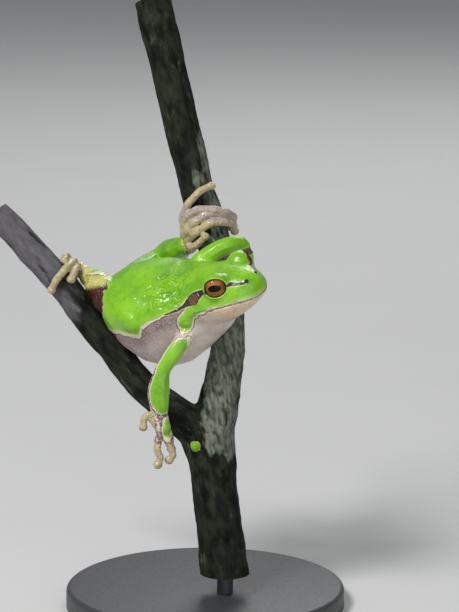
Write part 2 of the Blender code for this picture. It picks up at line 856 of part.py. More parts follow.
def turned_disc(name, radius, height, bottom, segments, collection):
    """An upright cylinder that stands on a level."""
    shape = bmesh.new()
    bmesh.ops.create_cone(
        shape,
        cap_ends=True,
        segments=segments,
        radius1=radius * MM,
        radius2=radius * MM,
        depth=height * MM,
        matrix=Matrix.Translation((0, 0, (bottom + height / 2) * MM)),
    )
    mesh = bpy.data.meshes.new(name)
    shape.to_mesh(mesh)
    shape.free()
    return put(name, mesh, collection)


def stand(collection, finish):
    """A turned base with a rounded edge, and the rod that holds the twig's cut end."""
    base = turned_disc("stand_base", BASE_RADIUS, BASE_HEIGHT, 0, BASE_STEPS, collection)
    shape = bmesh.new()
    shape.from_mesh(base.data)
    rim = [edge for edge in shape.edges if all(vert.co.z > BASE_HEIGHT / 2 * MM for vert in edge.verts)]
    bmesh.ops.bevel(shape, geom=rim, offset=BASE_EDGE * MM, segments=2, profile=0.5, affect="EDGES")
    shape.to_mesh(base.data)
    shape.free()
    rod = turned_disc("stand_rod", ROD_RADIUS, ROD_LENGTH - 2 * GAP, BASE_HEIGHT + GAP, ROD_STEPS, collection)
    rod.location = (ROD_TOP.x * MM, ROD_TOP.y * MM, 0)
    for piece in (base, rod):
        piece.data.materials.append(finish)
        piece.data.shade_smooth()
        piece.data.set_sharp_from_angle(angle=math.radians(40))


def limb_form(name, pieces, cutters, helpers):
    """One limb in one skin, cut clear of what it lies against."""
    whole = fused(name, pieces, LIMB_GRAIN, LIMB_SMOOTHING, helpers)
    for cutter in cutters:
        carved(whole, cutter)
    return largest(whole)


def leg(side, thigh, shank, tarsus, foot, cutters, helpers):
    """Thigh, shank and foot. The thigh parts the shank folded beside it."""
    upper = limb_form("thigh", limb("thigh", thigh, helpers), cutters, helpers)
    beside = swollen(upper, GAP, helpers)
    pieces = limb("shank", shank, helpers) + limb("tarsus", tarsus, helpers) + foot
    lower = fused("shank", pieces, LIMB_GRAIN, LIMB_SMOOTHING, helpers)
    named = part_at(
        lower,
        [limb_slab(tarsus, ANKLE_PARTS[side], helpers)],
        {f"shank_{side}": seen(*shank[1][:3]), f"foot_{side}": seen(*tarsus[-1][:3])},
        helpers,
    )
    for node in named.values():
        for cutter in (*cutters, beside):
            carved(node, cutter)
        largest(node)
    bpy.data.objects.remove(beside)
    nodes = {f"thigh_{side}": upper, **named}
    return nodes, [swollen(node, GAP, helpers) for node in nodes.values()]


def arm(side, places, hand, cutters, helpers):
    """Upper arm, forearm and hand."""
    whole = limb_form("arm", limb("arm", places, helpers) + hand, cutters, helpers)
    return part_at(
        whole,
        [limb_slab(places, ELBOW_PART, helpers), limb_slab(places, WRIST_PART, helpers)],
        {
            f"upper_arm_{side}": seen(*places[2][:3]),
            f"forearm_{side}": seen(*places[4][:3]),
            f"hand_{side}": seen(*places[-1][:3]),
        },
        helpers,
    )


def grip_on_left_branch(*grip):
    return gripping(LEFT_BRANCH, 0, LEFT_BRANCH_SIDE, *grip)


def grip_on_right_branch(*grip):
    return gripping(RIGHT_BRANCH, 1, RIGHT_BRANCH_SIDE, *grip)


def frog(bark_clear, helpers):
    """Every flesh node by its name."""
    foot = grip_on_left_branch(RIGHT_SOLE, RIGHT_TOES, TOE_RADIUS, RIGHT_TARSUS[-1], helpers, RIGHT_WEB)
    nodes, room = leg("right", RIGHT_THIGH, RIGHT_SHANK, RIGHT_TARSUS, foot, [bark_clear], helpers)

    body = body_shape(helpers)
    for cutter in (bark_clear, *room):
        carved(body, cutter)
    largest(body)
    outline = thinned(put("outline", body.data.copy(), helpers), PLAIN_GRAIN, PLAIN_TRIANGLES)
    clear = [swollen(outline, GAP, helpers), bark_clear]
    cut_face(body, helpers)
    neck_middle = HEAD.place(NECK_AHEAD, 0, MOUTH_LEVEL)
    neck = slab("neck", neck_middle, HEAD.ahead + TRUNK.ahead, NECK_REACH, helpers)
    places = {"head": HEAD.place(*HEAD_MIDDLE), "torso": TRUNK.place(*TORSO_MIDDLE)}
    nodes.update(part_at(body, [neck], places, helpers))

    foot = grip_on_right_branch(LEFT_SOLE, LEFT_TOES, TOE_RADIUS, LEFT_TARSUS[-1], helpers, LEFT_WEB)
    named, _ = leg("left", LEFT_THIGH, LEFT_SHANK, LEFT_TARSUS, foot, clear, helpers)
    nodes.update(named)
    nodes.update(arm("right", RIGHT_ARM, right_hand(helpers), clear, helpers))
    hand = grip_on_right_branch(LEFT_PALM, LEFT_FINGERS, FINGER_RADIUS, LEFT_ARM[-1], helpers)
    nodes.update(arm("left", LEFT_ARM, hand, clear, helpers))
    return nodes


def main():
    clear_scene()
    parts = new_collection("tree_frog")
    helpers = new_collection("cutters")
    branches, bark_clear = twig(helpers)
    flesh = material("skin_green", GREEN, 0.4)
    tan = material("digit_tan", DIGIT_TAN, 0.5)
    bark = material("bark", BARK_GREY, 0.85)
    for name, node in {**frog(bark_clear, helpers), **branches}.items():
        node.name = name
        kind = name.replace("_left", "").replace("_right", "")
        is_perch = name.startswith("perch")
        thinned(node, *DETAIL["perch" if is_perch else kind])
        largest(node)
        node.data.materials.clear()
        node.data.materials.append(bark if is_perch else tan if kind in ("hand", "foot") else flesh)
        node.data.shade_smooth()
        helpers.objects.unlink(node)
        parts.objects.link(node)
    gold = material("eye_gold", EYE_GOLD, 0.15)
    for side, name in ((1, "eye_left"), (-1, "eye_right")):
        eye = ball(name, eye_centre(side), [EYE_RADIUS] * 3, parts)
        eye.data.materials.append(gold)
        eye.data.shade_smooth()
    stand(parts, material("stand_grey", STAND_GREY, 0.5))
    for helper in list(helpers.objects):
        bpy.data.objects.remove(helper)


main()
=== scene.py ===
"""The looks of a European tree frog that rests in the fork of a twig, on its display stand.

Places are given as they are seen from the front: across to the right, up, and near to the viewer,
in millimetres. The pose leans back by LEAN, so the frog is seen a little from above.
"""

import json
import math

import bmesh
import bpy
import numpy as np
from mathutils import Matrix, Vector
from mathutils.kdtree import KDTree

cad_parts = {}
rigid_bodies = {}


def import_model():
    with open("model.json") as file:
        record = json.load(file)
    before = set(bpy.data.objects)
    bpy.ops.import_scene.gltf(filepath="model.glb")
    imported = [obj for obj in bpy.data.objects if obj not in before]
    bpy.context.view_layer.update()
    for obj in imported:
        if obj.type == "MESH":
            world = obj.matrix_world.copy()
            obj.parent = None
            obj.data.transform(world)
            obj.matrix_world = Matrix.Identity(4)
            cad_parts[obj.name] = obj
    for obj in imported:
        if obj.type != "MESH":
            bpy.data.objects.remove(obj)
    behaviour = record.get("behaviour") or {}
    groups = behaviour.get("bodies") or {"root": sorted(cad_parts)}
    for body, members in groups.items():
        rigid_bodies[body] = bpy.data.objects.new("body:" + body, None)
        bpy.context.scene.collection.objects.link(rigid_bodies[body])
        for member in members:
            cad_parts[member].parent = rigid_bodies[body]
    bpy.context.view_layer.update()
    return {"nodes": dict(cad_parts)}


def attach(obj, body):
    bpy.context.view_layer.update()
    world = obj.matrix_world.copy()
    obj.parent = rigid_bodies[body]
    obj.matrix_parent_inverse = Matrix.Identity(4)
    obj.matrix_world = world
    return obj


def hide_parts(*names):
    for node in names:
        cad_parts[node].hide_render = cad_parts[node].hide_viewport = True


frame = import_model()

MM = 0.001
LEAN = math.radians(12)
GAP = 0.3
BASE_RADIUS = 28.0
BASE_HEIGHT = 4.0
BASE_EDGE = 1.0
ROD_RADIUS = 1.6
ROD_LENGTH = 4.0
BASE_SHIFT = (-4.0, 5.0)

# Twig: across, up, near and radius of each place on its middle line
STEM_CUT = (-0.9, -53.3, 0.0)
STEM = [
    (-0.8, -56.5, 0.0, 4.95),
    (-1.6, -46.8, 0.0, 4.7),
    (-3.0, -36.0, -0.2, 4.6),
    (-3.4, -30.0, -0.5, 4.9),
    (-4.4, -25.5, -0.8, 5.6),
]
RIGHT_BRANCH = [
    (-3.8, -26.0, -0.8, 4.6),
    (-2.1, -18.8, -1.0, 4.1),
    (-1.2, -13.6, -1.8, 3.8),
    (-0.1, -5.4, -2.9, 3.4),
    (-0.7, 1.2, -3.9, 3.4),
    (-3.3, 14.2, -5.7, 3.5),
    (-7.4, 27.2, -7.5, 3.55),
    (-15.6, 62.2, -12.4, 3.75),
    (-16.8, 67.0, -13.2, 3.75),
]
LEFT_BRANCH = [
    (-4.4, -26.0, -0.8, 4.3),
    (-10.0, -22.2, -1.6, 3.7),
    (-17.1, -16.2, -3.0, 3.1),
    (-25.7, -5.8, -4.4, 2.9),
    (-34.3, 5.0, -5.8, 2.9),
    (-39.9, 11.2, -6.8, 2.85),
    (-47.2, 18.7, -8.0, 2.8),
    (-50.4, 22.1, -8.6, 2.8),
]
CUT_AWAY = 8.0
# From which side of each branch the angles of the grips are counted, as seen from the front
RIGHT_BRANCH_SIDE = (-1, 0, 0)
LEFT_BRANCH_SIDE = (0.77, 0.64, 0)
BUD_PLACE = (-6.8, -27.9, 3.9)
BUD_RADII = (0.85, 0.85, 1.1)

# Head, from the middle between the eyes: ahead, to the frog's left, and up
EYE_MIDDLE = (0.1, 6.2, 13.2)
HEAD_AHEAD = (0.76, 0.02, 0.65)
HEAD_LEFT = (0.55, 0.52, -0.655)
SNOUT_TIP = 6.6
MOUTH_LEVEL = -4.1
JAW_CORNER = -5.7
JAW_HALF_WIDTH = 7.3
JAW_POWERS = (2.3, 1 / 1.9)
CROWN_HEIGHT = 5.9
CROWN_POWERS = (3, 1 / 2.2)
CROWN_PAST = 0.5
THROAT_DEPTH = 6.0
THROAT_POWERS = (1.5, 0.8)
THROAT_PAST = 0.3
HEAD_STATIONS = (0.25, 0.65, 1.35, 2.4, 3.8, 5.6, 7.6, 9.6, 11.6, 13.4, 15.4)
EYE_PLACE = (-0.5, 4.4, -0.2)
EYE_RADIUS = 2.4
EYE_LOOK = (0.50, 0.82, 0.27)
LID_THICKNESS = 0.5
EYE_OPENING = (2.4, 2.75, 2.0)

# Trunk: how far back, half width, height above and depth below the widest level
TRUNK_START = (-1.7, 2.3, 7.2)
TRUNK_AHEAD = (0.875, 0.03, 0.483)
TRUNK_LEFT = (0.30, 0.62, -0.72)
TRUNK_SECTIONS = [
    (-1.5, 6.6, 5.0, 6.0),
    (2.0, 7.0, 5.3, 8.8),
    (6.0, 8.2, 5.5, 11.8),
    (10.0, 9.5, 5.7, 14.2),
    (14.0, 10.2, 5.7, 15.0),
    (18.0, 10.1, 5.5, 13.5),
    (21.5, 8.9, 5.1, 10.2),
    (24.0, 6.9, 4.4, 7.0),
    (26.0, 4.2, 3.0, 4.2),
    (27.0, 1.6, 1.2, 1.6),
]
SHOULDER_PLACE = (-4.5, 5.2, -1.5)
SHOULDER_RADII = (3.4, 3.0, 3.8)
RING_STEPS = 48
BALL_STEPS = 20
BACK_ROUNDNESS = 2.2
BELLY_ROUNDNESS = 2.5

# Limbs, digits and how they grip, as across, up, near and radius or as place, angle and lift
RIGHT_ARM = [
    (-6.9, -3.2, 7.5, 2.2),
    (-9.2, -6.6, 8.5, 1.75),
    (-11.5, -10.0, 8.8, 1.7),
    (-13.2, -12.8, 8.4, 1.6),
    (-14.0, -16.6, 7.8, 2.25),
    (-13.9, -19.4, 7.2, 2.0),
    (-13.8, -21.4, 6.6, 1.6),
]
LEFT_ARM = [
    (-5.6, 8.6, 1.6, 2.3),
    (-3.0, 10.7, 2.2, 2.0),
    (-0.2, 12.0, 2.2, 1.85),
    (2.0, 12.3, 1.2, 1.7),
    (3.1, 10.2, -0.4, 1.7),
    (3.5, 7.2, -2.0, 1.5),
    (3.6, 4.8, -3.2, 1.1),
]
RIGHT_THIGH = [
    (-24.6, 1.4, -2.4, 3.1),
    (-22.2, 0.2, 1.0, 3.1),
    (-20.4, -1.7, 3.8, 2.8),
    (-18.9, -3.0, 5.7, 2.4),
]
RIGHT_SHANK = [
    (-21.6, 1.6, -0.6, 2.3),
    (-25.3, 3.2, -3.6, 3.2),
    (-27.0, 4.9, -6.0, 2.7),
    (-28.4, 5.7, -7.0, 1.95),
]
RIGHT_TARSUS = [
    (-28.6, 6.1, -7.1, 1.8),
    (-29.9, 7.1, -8.3, 1.5),
    (-31.2, 8.3, -9.3, 1.3),
]
LEFT_THIGH = [
    (-19.8, 4.8, -5.2, 3.3),
    (-17.6, 6.4, -12.0, 3.5),
    (-15.2, 8.6, -19.0, 2.9),
    (-14.0, 9.6, -22.6, 2.6),
]
LEFT_SHANK = [
    (-14.4, 8.8, -22.4, 2.7),
    (-12.4, 10.3, -18.0, 3.2),
    (-10.4, 11.5, -13.0, 2.6),
    (-9.0, 12.1, -9.8, 2.0),
]
LEFT_TARSUS = [
    (-8.1, 12.2, -9.3, 1.7),
    (-7.7, 13.9, -7.2, 1.4),
    (-8.1, 15.6, -5.2, 1.25),
]
FINGER_RADIUS = 0.74
TOE_RADIUS = 0.8
DISC_RADIUS = 0.95
DIGIT_STEP = 0.4
DIGIT_ENDS = (1.12, 0.9)
DISC_FLATNESS = 0.9
ROOT_SHARE = 1.2
DIGIT_ROOM = 0.05
SOLE_RADIUS = 1.35
RIGHT_PALM = (-13.3, -24.0, 6.0, 1.7)
RIGHT_FINGERS = [
    [(-14.6, -23.4, 6.3), (-15.9, -21.6, 6.7), (-16.9, -22.4, 6.7), (-17.1, -24.0, 6.5)],
    [
        (-13.7, -25.2, 6.1), (-14.2, -26.9, 6.3), (-14.3, -28.5, 6.6),
        (-13.7, -30.0, 6.4), (-14.2, -31.5, 6.3),
    ],
    [
        (-12.9, -25.0, 6.0), (-12.3, -26.6, 5.8), (-11.6, -28.2, 5.5),
        (-11.2, -29.6, 5.2), (-12.0, -30.6, 5.0),
    ],
    [(-12.6, -24.4, 4.9), (-11.9, -25.8, 3.7), (-11.8, -27.2, 3.2), (-11.6, -28.4, 3.2)],
]
LEFT_PALM = (2.4, 200, 0.6)
LEFT_FINGERS = [
    [(2.8, 192, 0.5), (3.4, 150, 0.3), (3.5, 112, 0.1), (3.4, 82, 0.05)],
    [(2.0, 192, 0.5), (1.6, 150, 0.3), (1.3, 112, 0.1), (1.0, 74, 0.05)],
    [(2.5, 208, 0.5), (3.2, 240, 0.3), (3.5, 268, 0.1), (3.6, 295, 0.05)],
    [(2.0, 208, 0.5), (1.2, 240, 0.3), (0.9, 268, 0.1), (0.6, 300, 0.05)],
]
LEFT_SOLE = (15.9, 12, 0.6)
LEFT_TOES = [
    [(17.2, 10, 0.5), (19.3, 25, 0.45), (21.0, 55, 0.3), (22.2, 92, 0.1), (22.9, 126, 0.05)],
    [
        (17.2, 14, 0.6), (18.7, 45, 0.6), (19.1, 75, 0.6), (18.1, 110, 0.6),
        (17.1, 140, 0.6), (16.3, 175, 0.4), (15.6, 210, 0.1),
    ],
    [
        (16.0, 14, 0.5), (16.9, 50, 0.5), (17.6, 88, 0.3), (17.1, 130, 0.2),
        (16.4, 160, 0.15), (15.0, 212, 0.05),
    ],
    [
        (14.7, 14, 0.5), (15.1, 48, 0.3), (15.9, 90, 0.15), (15.7, 125, 0.1),
        (15.1, 160, 0.1), (14.3, 200, 0.05),
    ],
    [(14.2, 4, 0.6), (12.7, 18, 0.3), (12.8, 42, 0.1), (13.7, 70, 0.05)],
]
RIGHT_SOLE = (-34.9, -46, 1.3)
# The skin between the roots of the toes: height up the branch, angle and lift, and radius
LEFT_WEB = (16.2, 34, 0.2, 1.5)
RIGHT_WEB = (-34.8, -20, 0.6, 0.9)
RIGHT_TOES = [
    [
        (-34.9, -40, 1.2), (-35.0, -5, 0.7), (-34.6, 50, 0.15),
        (-34.2, 92, 0.05), (-33.9, 122, 0.05),
    ],
    [(-34.8, -35, 0.9), (-34.5, 0, 0.3), (-33.7, 34, 0.1), (-33.2, 58, 0.05)],
    [(-35.6, -40, 1.0), (-36.2, -15, 0.4), (-36.1, 8, 0.1), (-35.9, 28, 0.05)],
    [(-35.8, -55, 0.9), (-36.6, -75, 0.3), (-36.9, -95, 0.1), (-37.0, -115, 0.05)],
    [(-34.0, -55, 0.9), (-33.8, -75, 0.3), (-33.6, -95, 0.1), (-33.4, -115, 0.05)],
]

LIMBS = [
    RIGHT_ARM, LEFT_ARM, RIGHT_THIGH, RIGHT_SHANK, RIGHT_TARSUS, LEFT_THIGH, LEFT_SHANK, LEFT_TARSUS,
]
# A branch, whether places on it are told by across (0) or up (1), and its side
ON_RIGHT = (RIGHT_BRANCH, 1, RIGHT_BRANCH_SIDE)
ON_LEFT = (LEFT_BRANCH, 0, LEFT_BRANCH_SIDE)
# The hands and feet that hold on: branch, sole, digits, their radius, the limb's end, and any web
GRIPS = [
    (ON_RIGHT, LEFT_PALM, LEFT_FINGERS, FINGER_RADIUS, LEFT_ARM[-1], None),
    (ON_RIGHT, LEFT_SOLE, LEFT_TOES, TOE_RADIUS, LEFT_TARSUS[-1], LEFT_WEB),
    (ON_LEFT, RIGHT_SOLE, RIGHT_TOES, TOE_RADIUS, RIGHT_TARSUS[-1], RIGHT_WEB),
]

# Skin: how fine it is, and how it is smoothed
SKIN_GRAIN = 0.15
SKIN_ROUNDS = 3
ROOT_ROUNDS = 26
BODY_GRAIN = 0.36
BODY_SMOOTHING = 14

# The mouth line: distance ahead and height, in the head's axes
MOUTH_CURVE = [(-5.7, -4.4), (-2.5, -4.1), (0.3, -3.8), (3.2, -3.7), (5.3, -4.06), (6.6, -4.4)]
# Lower edge of the green back: distance behind the trunk's start, and height
GREEN_EDGE = [
    (-4.0, 4.6), (0.0, 4.6), (3.4, 4.0), (5.4, 2.6), (7.1, 2.2), (9.8, 1.7), (12.4, 1.1),
    (13.8, 0.2), (15.1, -1.6), (17.2, -1.3), (19.5, -0.8), (23.4, -1.6), (27.0, -1.0),
]
# The green lobe behind the corner of the mouth: back, height and half width in the trunk's axes
LOBE = [(-1.6, 3.7, 1.0), (2.0, 2.4, 1.2), (4.0, 0.9, 1.1), (4.9, -0.5, 1.5)]
LOBE_LOWEST = -5.4
# The dark stripe from nostril to shoulder in the head's axes: ahead, height, half width
STRIPE = [
    (4.9, -0.85, 0.16), (3.6, -0.5, 0.2), (2.4, -0.1, 0.26), (1.2, 0.0, 0.26), (0.0, -0.2, 0.3),
    (-2.6, -0.3, 0.35), (-3.8, -0.8, 0.6), (-5.0, -1.4, 1.0), (-6.0, -1.8, 0.95), (-7.2, -2.3, 0.6),
    (-8.2, -2.85, 0.35), (-9.6, -3.3, 0.25), (-12.0, -3.5, 0.12),
]
EAR = (-5.35, -1.75, 1.35, 1.1)
NOSTRIL = (5.0, 1.55, -0.9, 0.42)
# The visible part of an eye between the lids, along and up
EYE_SEEN = (2.2, 1.85)

# What a marking's value is where the point lies well outside it
OUTSIDE = -3.0
# The numbers of some limbs in LIMBS, then of digits and palms
DIGIT = 20
PALM = 21
PALM_RADIUS = 1.5
LIMB_STEP = 0.3
THIGH = 2
SHANK = 3
HEEL_ACROSS = -23.6
# The heel is green right of the first place or above the second, but not left of the third
HEEL_GREEN = (-24.3, 6.7, -29.3)
# The left foot is above this height
FOOT_ABOVE = 12.8
# The thigh behind the back is green right of this place only
THIGH_GREEN = -25.3
BACK_LOWEST = -2.6
# Below this line, left of and behind these places, the folded leg's underside is painted dark red-brown:
# its own red-brown darkened into painted shade where it lies in shadow
UNDER_LEG_SHADE = (-0.2, 1.0, -9.1, -22.6, 2.0)
HIND_LIMBS = (2, 3, 4, 5, 6, 7)
# The left foot is lilac right of this place, between these heights
BLUSH = (-14, 16.2, 21.0)
# The green on each limb: its middle direction, half its angle, and from where to where along it
LIMB_GREEN = {
    0: ((0.45, 0.0, 0.89), 78, 3.9, 20.4),
    1: ((-0.1, 0.6, 0.8), 90, -9, 99),
    2: ((-0.6, 0.6, 0.5), 85, -9, 99),
    3: ((0.1, 0.98, 0.1), 55, -9, 99),
    4: ((0.1, 0.98, 0.1), 50, -9, -1),
    5: ((-0.3, 0.9, 0.2), 150, -9, 99),
    6: ((-0.2, 0.85, 0.45), 150, -9, 99),
    7: ((-0.2, 0.85, 0.45), 150, -9, 0.9),
}
LIMB_TAPER = 2.6
# Lilac granules reach from the elbow down to the knuckles, but not out on the thumb
ELBOW = 10.5
HAND_BELOW = (-28.6, -26.4)
THUMB_LEFT = (-15.2, -14.4)
HAND_NEAR = 4.0
# Green on the back of the right hand, and cream at the root of that arm: across, up and half sizes
HAND_GREEN = (-12.35, -24.3, 0.75, 1.9)
ARM_CREAM = (-7.9, -7.3, 0.55, 1.6)
# Where limbs grow from the body, and how far round them the skin is drawn smooth
ROOTS = [
    ((-6.6, -2.6, 7.4), 5.0),
    ((-5.6, 8.6, 1.6), 5.0),
    ((-21.0, 0.0, 2.0), 9.0),
    ((-19.0, 5.2, -6.5), 7.0),
    ((-19.0, -3.0, 6.0), 6.0),
]
# Soft folds on the back: ends as distance back and to the left, width and height
FOLDS = [
    ((16.9, -3.9), (13.2, -4.5), 0.3, 0.10),
    ((13.2, -4.5), (9.8, -5.2), 0.35, 0.12),
    ((9.8, -5.2), (4.5, -6.0), 0.35, 0.10),
    ((14.6, 0.2), (11.3, -2.2), 0.4, 0.09),
    ((10.3, -3.5), (9.3, -2.8), 0.3, 0.14),
    ((9.3, -2.8), (7.2, -3.0), 0.3, 0.16),
    ((7.2, -3.0), (5.2, -4.4), 0.3, 0.14),
    ((8.3, -4.6), (6.6, -4.9), 0.35, 0.12),
    ((8.4, 4.6), (5.8, 4.9), 0.4, 0.10),
    ((16.4, -5.2), (15.3, -6.6), 0.5, 0.14),
    ((19.5, -2.4), (18.6, -3.9), 0.5, 0.12),
]
LIP = 0.42
# Relief round the mouth line: size, height over the line and width
MOUTH_RELIEF = [(-0.24, 0, 0.13), (0.10, 0.45, 0.3), (0.06, -0.4, 0.3)]
EAR_FOLD = ((-2.4, 0.9), (-8.6, -0.6))
# How wide the cream edge is, by distance back
EDGE_WIDTH = ((6, 11, 14, 27), (0.25, 0.4, 0.9, 0.8))
# The wet, creased skin over the right shoulder blade: back, left and reach
CREASED = (8.2, -3.8, 6.5)
LOBE_RISE = 0.45
KNUCKLE = 0.05
SOCKET_ROOM = 0.08
CORNEA = 0.14
CORNEA_IOR = 1.22
PUPIL = (0.61, 0.31)

BARK_GRAIN = 0.3
BARK_SMOOTHING = 10
# Waves in the bark: how close, how high, and the ways they run
BARK_WAVES = [(0.42, 0.16), (0.95, 0.09), (2.2, 0.045)]
WAVE_WAYS = [(1, 0.35, 0.2), (0.3, 1, 0.45), (0.25, -0.4, 1)]
FORK = (-6.0, -26.0, 3.0)
# How much the bark's pattern is drawn out along the branches
BARK_DRAW = 0.62
SCARS = [((-3.4, 8.0, -1.5), 1.0), ((-33.0, 5.6, -2.8), 0.9), ((-1.0, -33.0, 4.2), 0.9)]
ROD_SUNK = 0.6

CAMERA_DISTANCE = 0.7
VIEW_HEIGHT = 0.1224
SENSOR = 24
LIT_PLACE = (0, 0, 0.06)
FLOOR_SIZE = 3.0
LIGHTS = [
    ("key", (-0.35, -0.35, 0.65), 0.24, 4.8),
    ("fill", (0.2, -0.7, 0.12), 0.9, 2.6),
    ("back", (0.1, 0.6, 0.5), 0.4, 1.6),
]
SKY = 0.28


def new_collection(name):
    collection = bpy.data.collections.new(name)
    bpy.context.scene.collection.children.link(collection)
    return collection


def turned(across, up, near):
    """A direction as it is seen from the front, in world axes."""
    sine, cosine = math.sin(LEAN), math.cos(LEAN)
    return Vector((across, up * sine - near * cosine, up * cosine + near * sine))


STEM_FOOT = turned(*STEM_CUT)
ROD_TOP = Vector((-BASE_SHIFT[0], -BASE_SHIFT[1], BASE_HEIGHT + ROD_LENGTH))
SHIFT = ROD_TOP - STEM_FOOT


def seen(across, up, near):
    """A place as it is seen from the front, in world metres from the middle of the base's underside."""
    return (turned(across, up, near) + SHIFT) * MM


def seen_from(place):
    """The opposite of seen: a world place as across, up and near in millimetres."""
    local = Vector(place) / MM - SHIFT
    up = local.y * math.sin(LEAN) + local.z * math.cos(LEAN)
    near = local.z * math.sin(LEAN) - local.y * math.cos(LEAN)
    return (local.x, up, near)


class Frame:
    """A right-handed set of axes for a part of the body: ahead, to its left, and up."""

    def __init__(self, origin, ahead, left):
        self.origin = seen(*origin)
        self.ahead = turned(*ahead).normalized()
        rough_left = turned(*left)
        self.left = (rough_left - self.ahead * rough_left.dot(self.ahead)).normalized()
        self.up = self.ahead.cross(self.left)

    def way(self, ahead, left, up):
        return self.ahead * ahead + self.left * left + self.up * up

    def place(self, ahead, left, up):
        return self.origin + self.way(ahead, left, up) * MM

    def local(self, points):
        """Points in millimetres along these axes, as ahead, left and up."""
        return (points - np.array(self.origin)) @ np.array([self.ahead, self.left, self.up]).T / MM


HEAD = Frame(EYE_MIDDLE, HEAD_AHEAD, HEAD_LEFT)
TRUNK = Frame(TRUNK_START, TRUNK_AHEAD, TRUNK_LEFT)


def put(name, mesh, collection):
    obj = bpy.data.objects.new(name, mesh)
    collection.objects.link(obj)
    return obj


def finished(shape, name, collection):
    """An object with the shape as its mesh."""
    mesh = bpy.data.meshes.new(name)
    shape.to_mesh(mesh)
    shape.free()
    return put(name, mesh, collection)


def baked(obj):
    """The object's mesh with its modifiers applied, in place of its own."""
    graph = bpy.context.evaluated_depsgraph_get()
    graph.update()
    mesh = bpy.data.meshes.new_from_object(obj.evaluated_get(graph))
    obj.modifiers.clear()
    obj.data = mesh
    return obj


def dressed(piece, material, sharp_angle=180):
    """The piece in one material, shaded smooth where its faces meet at less than an angle."""
    mesh = piece.data
    mesh.materials.clear()
    mesh.materials.append(material)
    mesh.shade_smooth()
    if sharp_angle < 180:
        mesh.set_sharp_from_angle(angle=math.radians(sharp_angle))
    return piece


def smooth_path(places, step=0.8):
    """Places with radii read from a smooth curve through the given ones, about a step apart."""
    points = [np.array(place) for place in places]
    padded = [2 * points[0] - points[1], *points, 2 * points[-1] - points[-2]]
    path = []
    for before, start, end, after in zip(padded, padded[1:], padded[2:], padded[3:]):
        count = max(2, round(np.linalg.norm((end - start)[:3]) / step))
        bend = 2 * before - 5 * start + 4 * end - after
        twist = 3 * start - before - 3 * end + after
        for t in np.arange(count) / count:
            path.append(0.5 * (2 * start + (end - before) * t + bend * t**2 + twist * t**3))
    path.append(points[-1])
    return path


def tube(name, path, collection, sides=3):
    """A tube along a path of places in millimetres with radii, as a closed mesh."""
    curve = bpy.data.curves.new(name, "CURVE")
    curve.dimensions = "3D"
    curve.bevel_depth = MM
    curve.bevel_resolution = sides
    curve.use_fill_caps = True
    spline = curve.splines.new("POLY")
    spline.points.add(len(path) - 1)
    for point, place in zip(spline.points, path):
        point.co = (*seen(*place[:3]), 1)
        point.radius = place[3]
    guide = put(name, curve, collection)
    graph = bpy.context.evaluated_depsgraph_get()
    shape = bmesh.new()
    shape.from_mesh(bpy.data.meshes.new_from_object(guide.evaluated_get(graph)))
    bpy.data.objects.remove(guide)
    bmesh.ops.remove_doubles(shape, verts=shape.verts, dist=1e-7)
    return finished(shape, name, collection)


def ball(name, centre, radii, collection, axes=None, segments=BALL_STEPS):
    """A ball, or an ellipsoid with one radius along each of three axes."""
    shape = bmesh.new()
    bmesh.ops.create_uvsphere(shape, u_segments=segments, v_segments=segments // 2, radius=1)
    turn = Matrix(axes).transposed() if axes else Matrix.Identity(3)
    scale = Matrix.Diagonal(Vector(radii) * MM)
    bmesh.ops.transform(shape, matrix=(turn @ scale).to_4x4(), verts=shape.verts)
    bmesh.ops.translate(shape, vec=centre, verts=shape.verts)
    bmesh.ops.recalc_face_normals(shape, faces=shape.faces)
    return finished(shape, name, collection)


def cylinder(radius, height, place, segments):
    """A closed cylinder about a placing's own upright, as a shape."""
    shape = bmesh.new()
    sizes = {"radius1": radius * MM, "radius2": radius * MM, "depth": height * MM}
    bmesh.ops.create_cone(shape, cap_ends=True, segments=segments, matrix=place, **sizes)
    return shape


def limb(name, places, collection):
    """A tube through the places with a ball at each end."""
    path = smooth_path(places)
    pieces = [tube(name, path, collection)]
    for end in (path[0], path[-1]):
        pieces.append(ball(name, seen(*end[:3]), [end[3]] * 3, collection))
    return pieces


def grip_place(hold, row, thickness):
    """A place beside a branch, at an angle from one side round by the front, clear of the bark."""
    branch, key, side = hold
    value, angle, lift = row
    path = smooth_path(branch, 0.5)
    nearest = min(range(1, len(path) - 1), key=lambda i: abs(path[i][key] - value))
    along = turned(*(path[nearest + 1] - path[nearest - 1])[:3]).normalized()
    near = turned(0, 0, 1)
    near = (near - along * near.dot(along)).normalized()
    aside = near.cross(along).normalized()
    if aside.dot(turned(*side)) < 0:
        aside = -aside
    turn = math.radians(angle)
    way = aside * math.cos(turn) + near * math.sin(turn)
    reach = path[nearest][3] + GAP + DIGIT_ROOM + thickness + lift
    return seen_from(seen(*path[nearest][:3]) + way * reach * MM)


def digit(places, radius, collection):
    """A finger or toe that swells at its joints, with a disc on its tip."""
    places = [np.array(place) for place in places]
    last = len(places) - 1
    rows = []
    for i, place in enumerate(places):
        size = radius * (DIGIT_ENDS[0] + (DIGIT_ENDS[1] - DIGIT_ENDS[0]) * i / last)
        rows.append((*place, size * (1 + KNUCKLE if 0 < i < last else 1)))
        if i < last:
            middle = (place + places[i + 1]) / 2
            if i:
                middle += (2 * place - places[i - 1] - places[i + 1]) / 16
            rows.append((*middle, size * (1 - KNUCKLE)))
    path = smooth_path(rows, DIGIT_STEP)
    disc = [DISC_RADIUS, DISC_RADIUS, DISC_RADIUS * DISC_FLATNESS]
    return [
        tube("digit", path, collection, 6),
        ball("disc", seen(*path[-1][:3]), disc, collection),
        ball("root", seen(*path[0][:3]), [radius * ROOT_SHARE] * 3, collection),
    ]


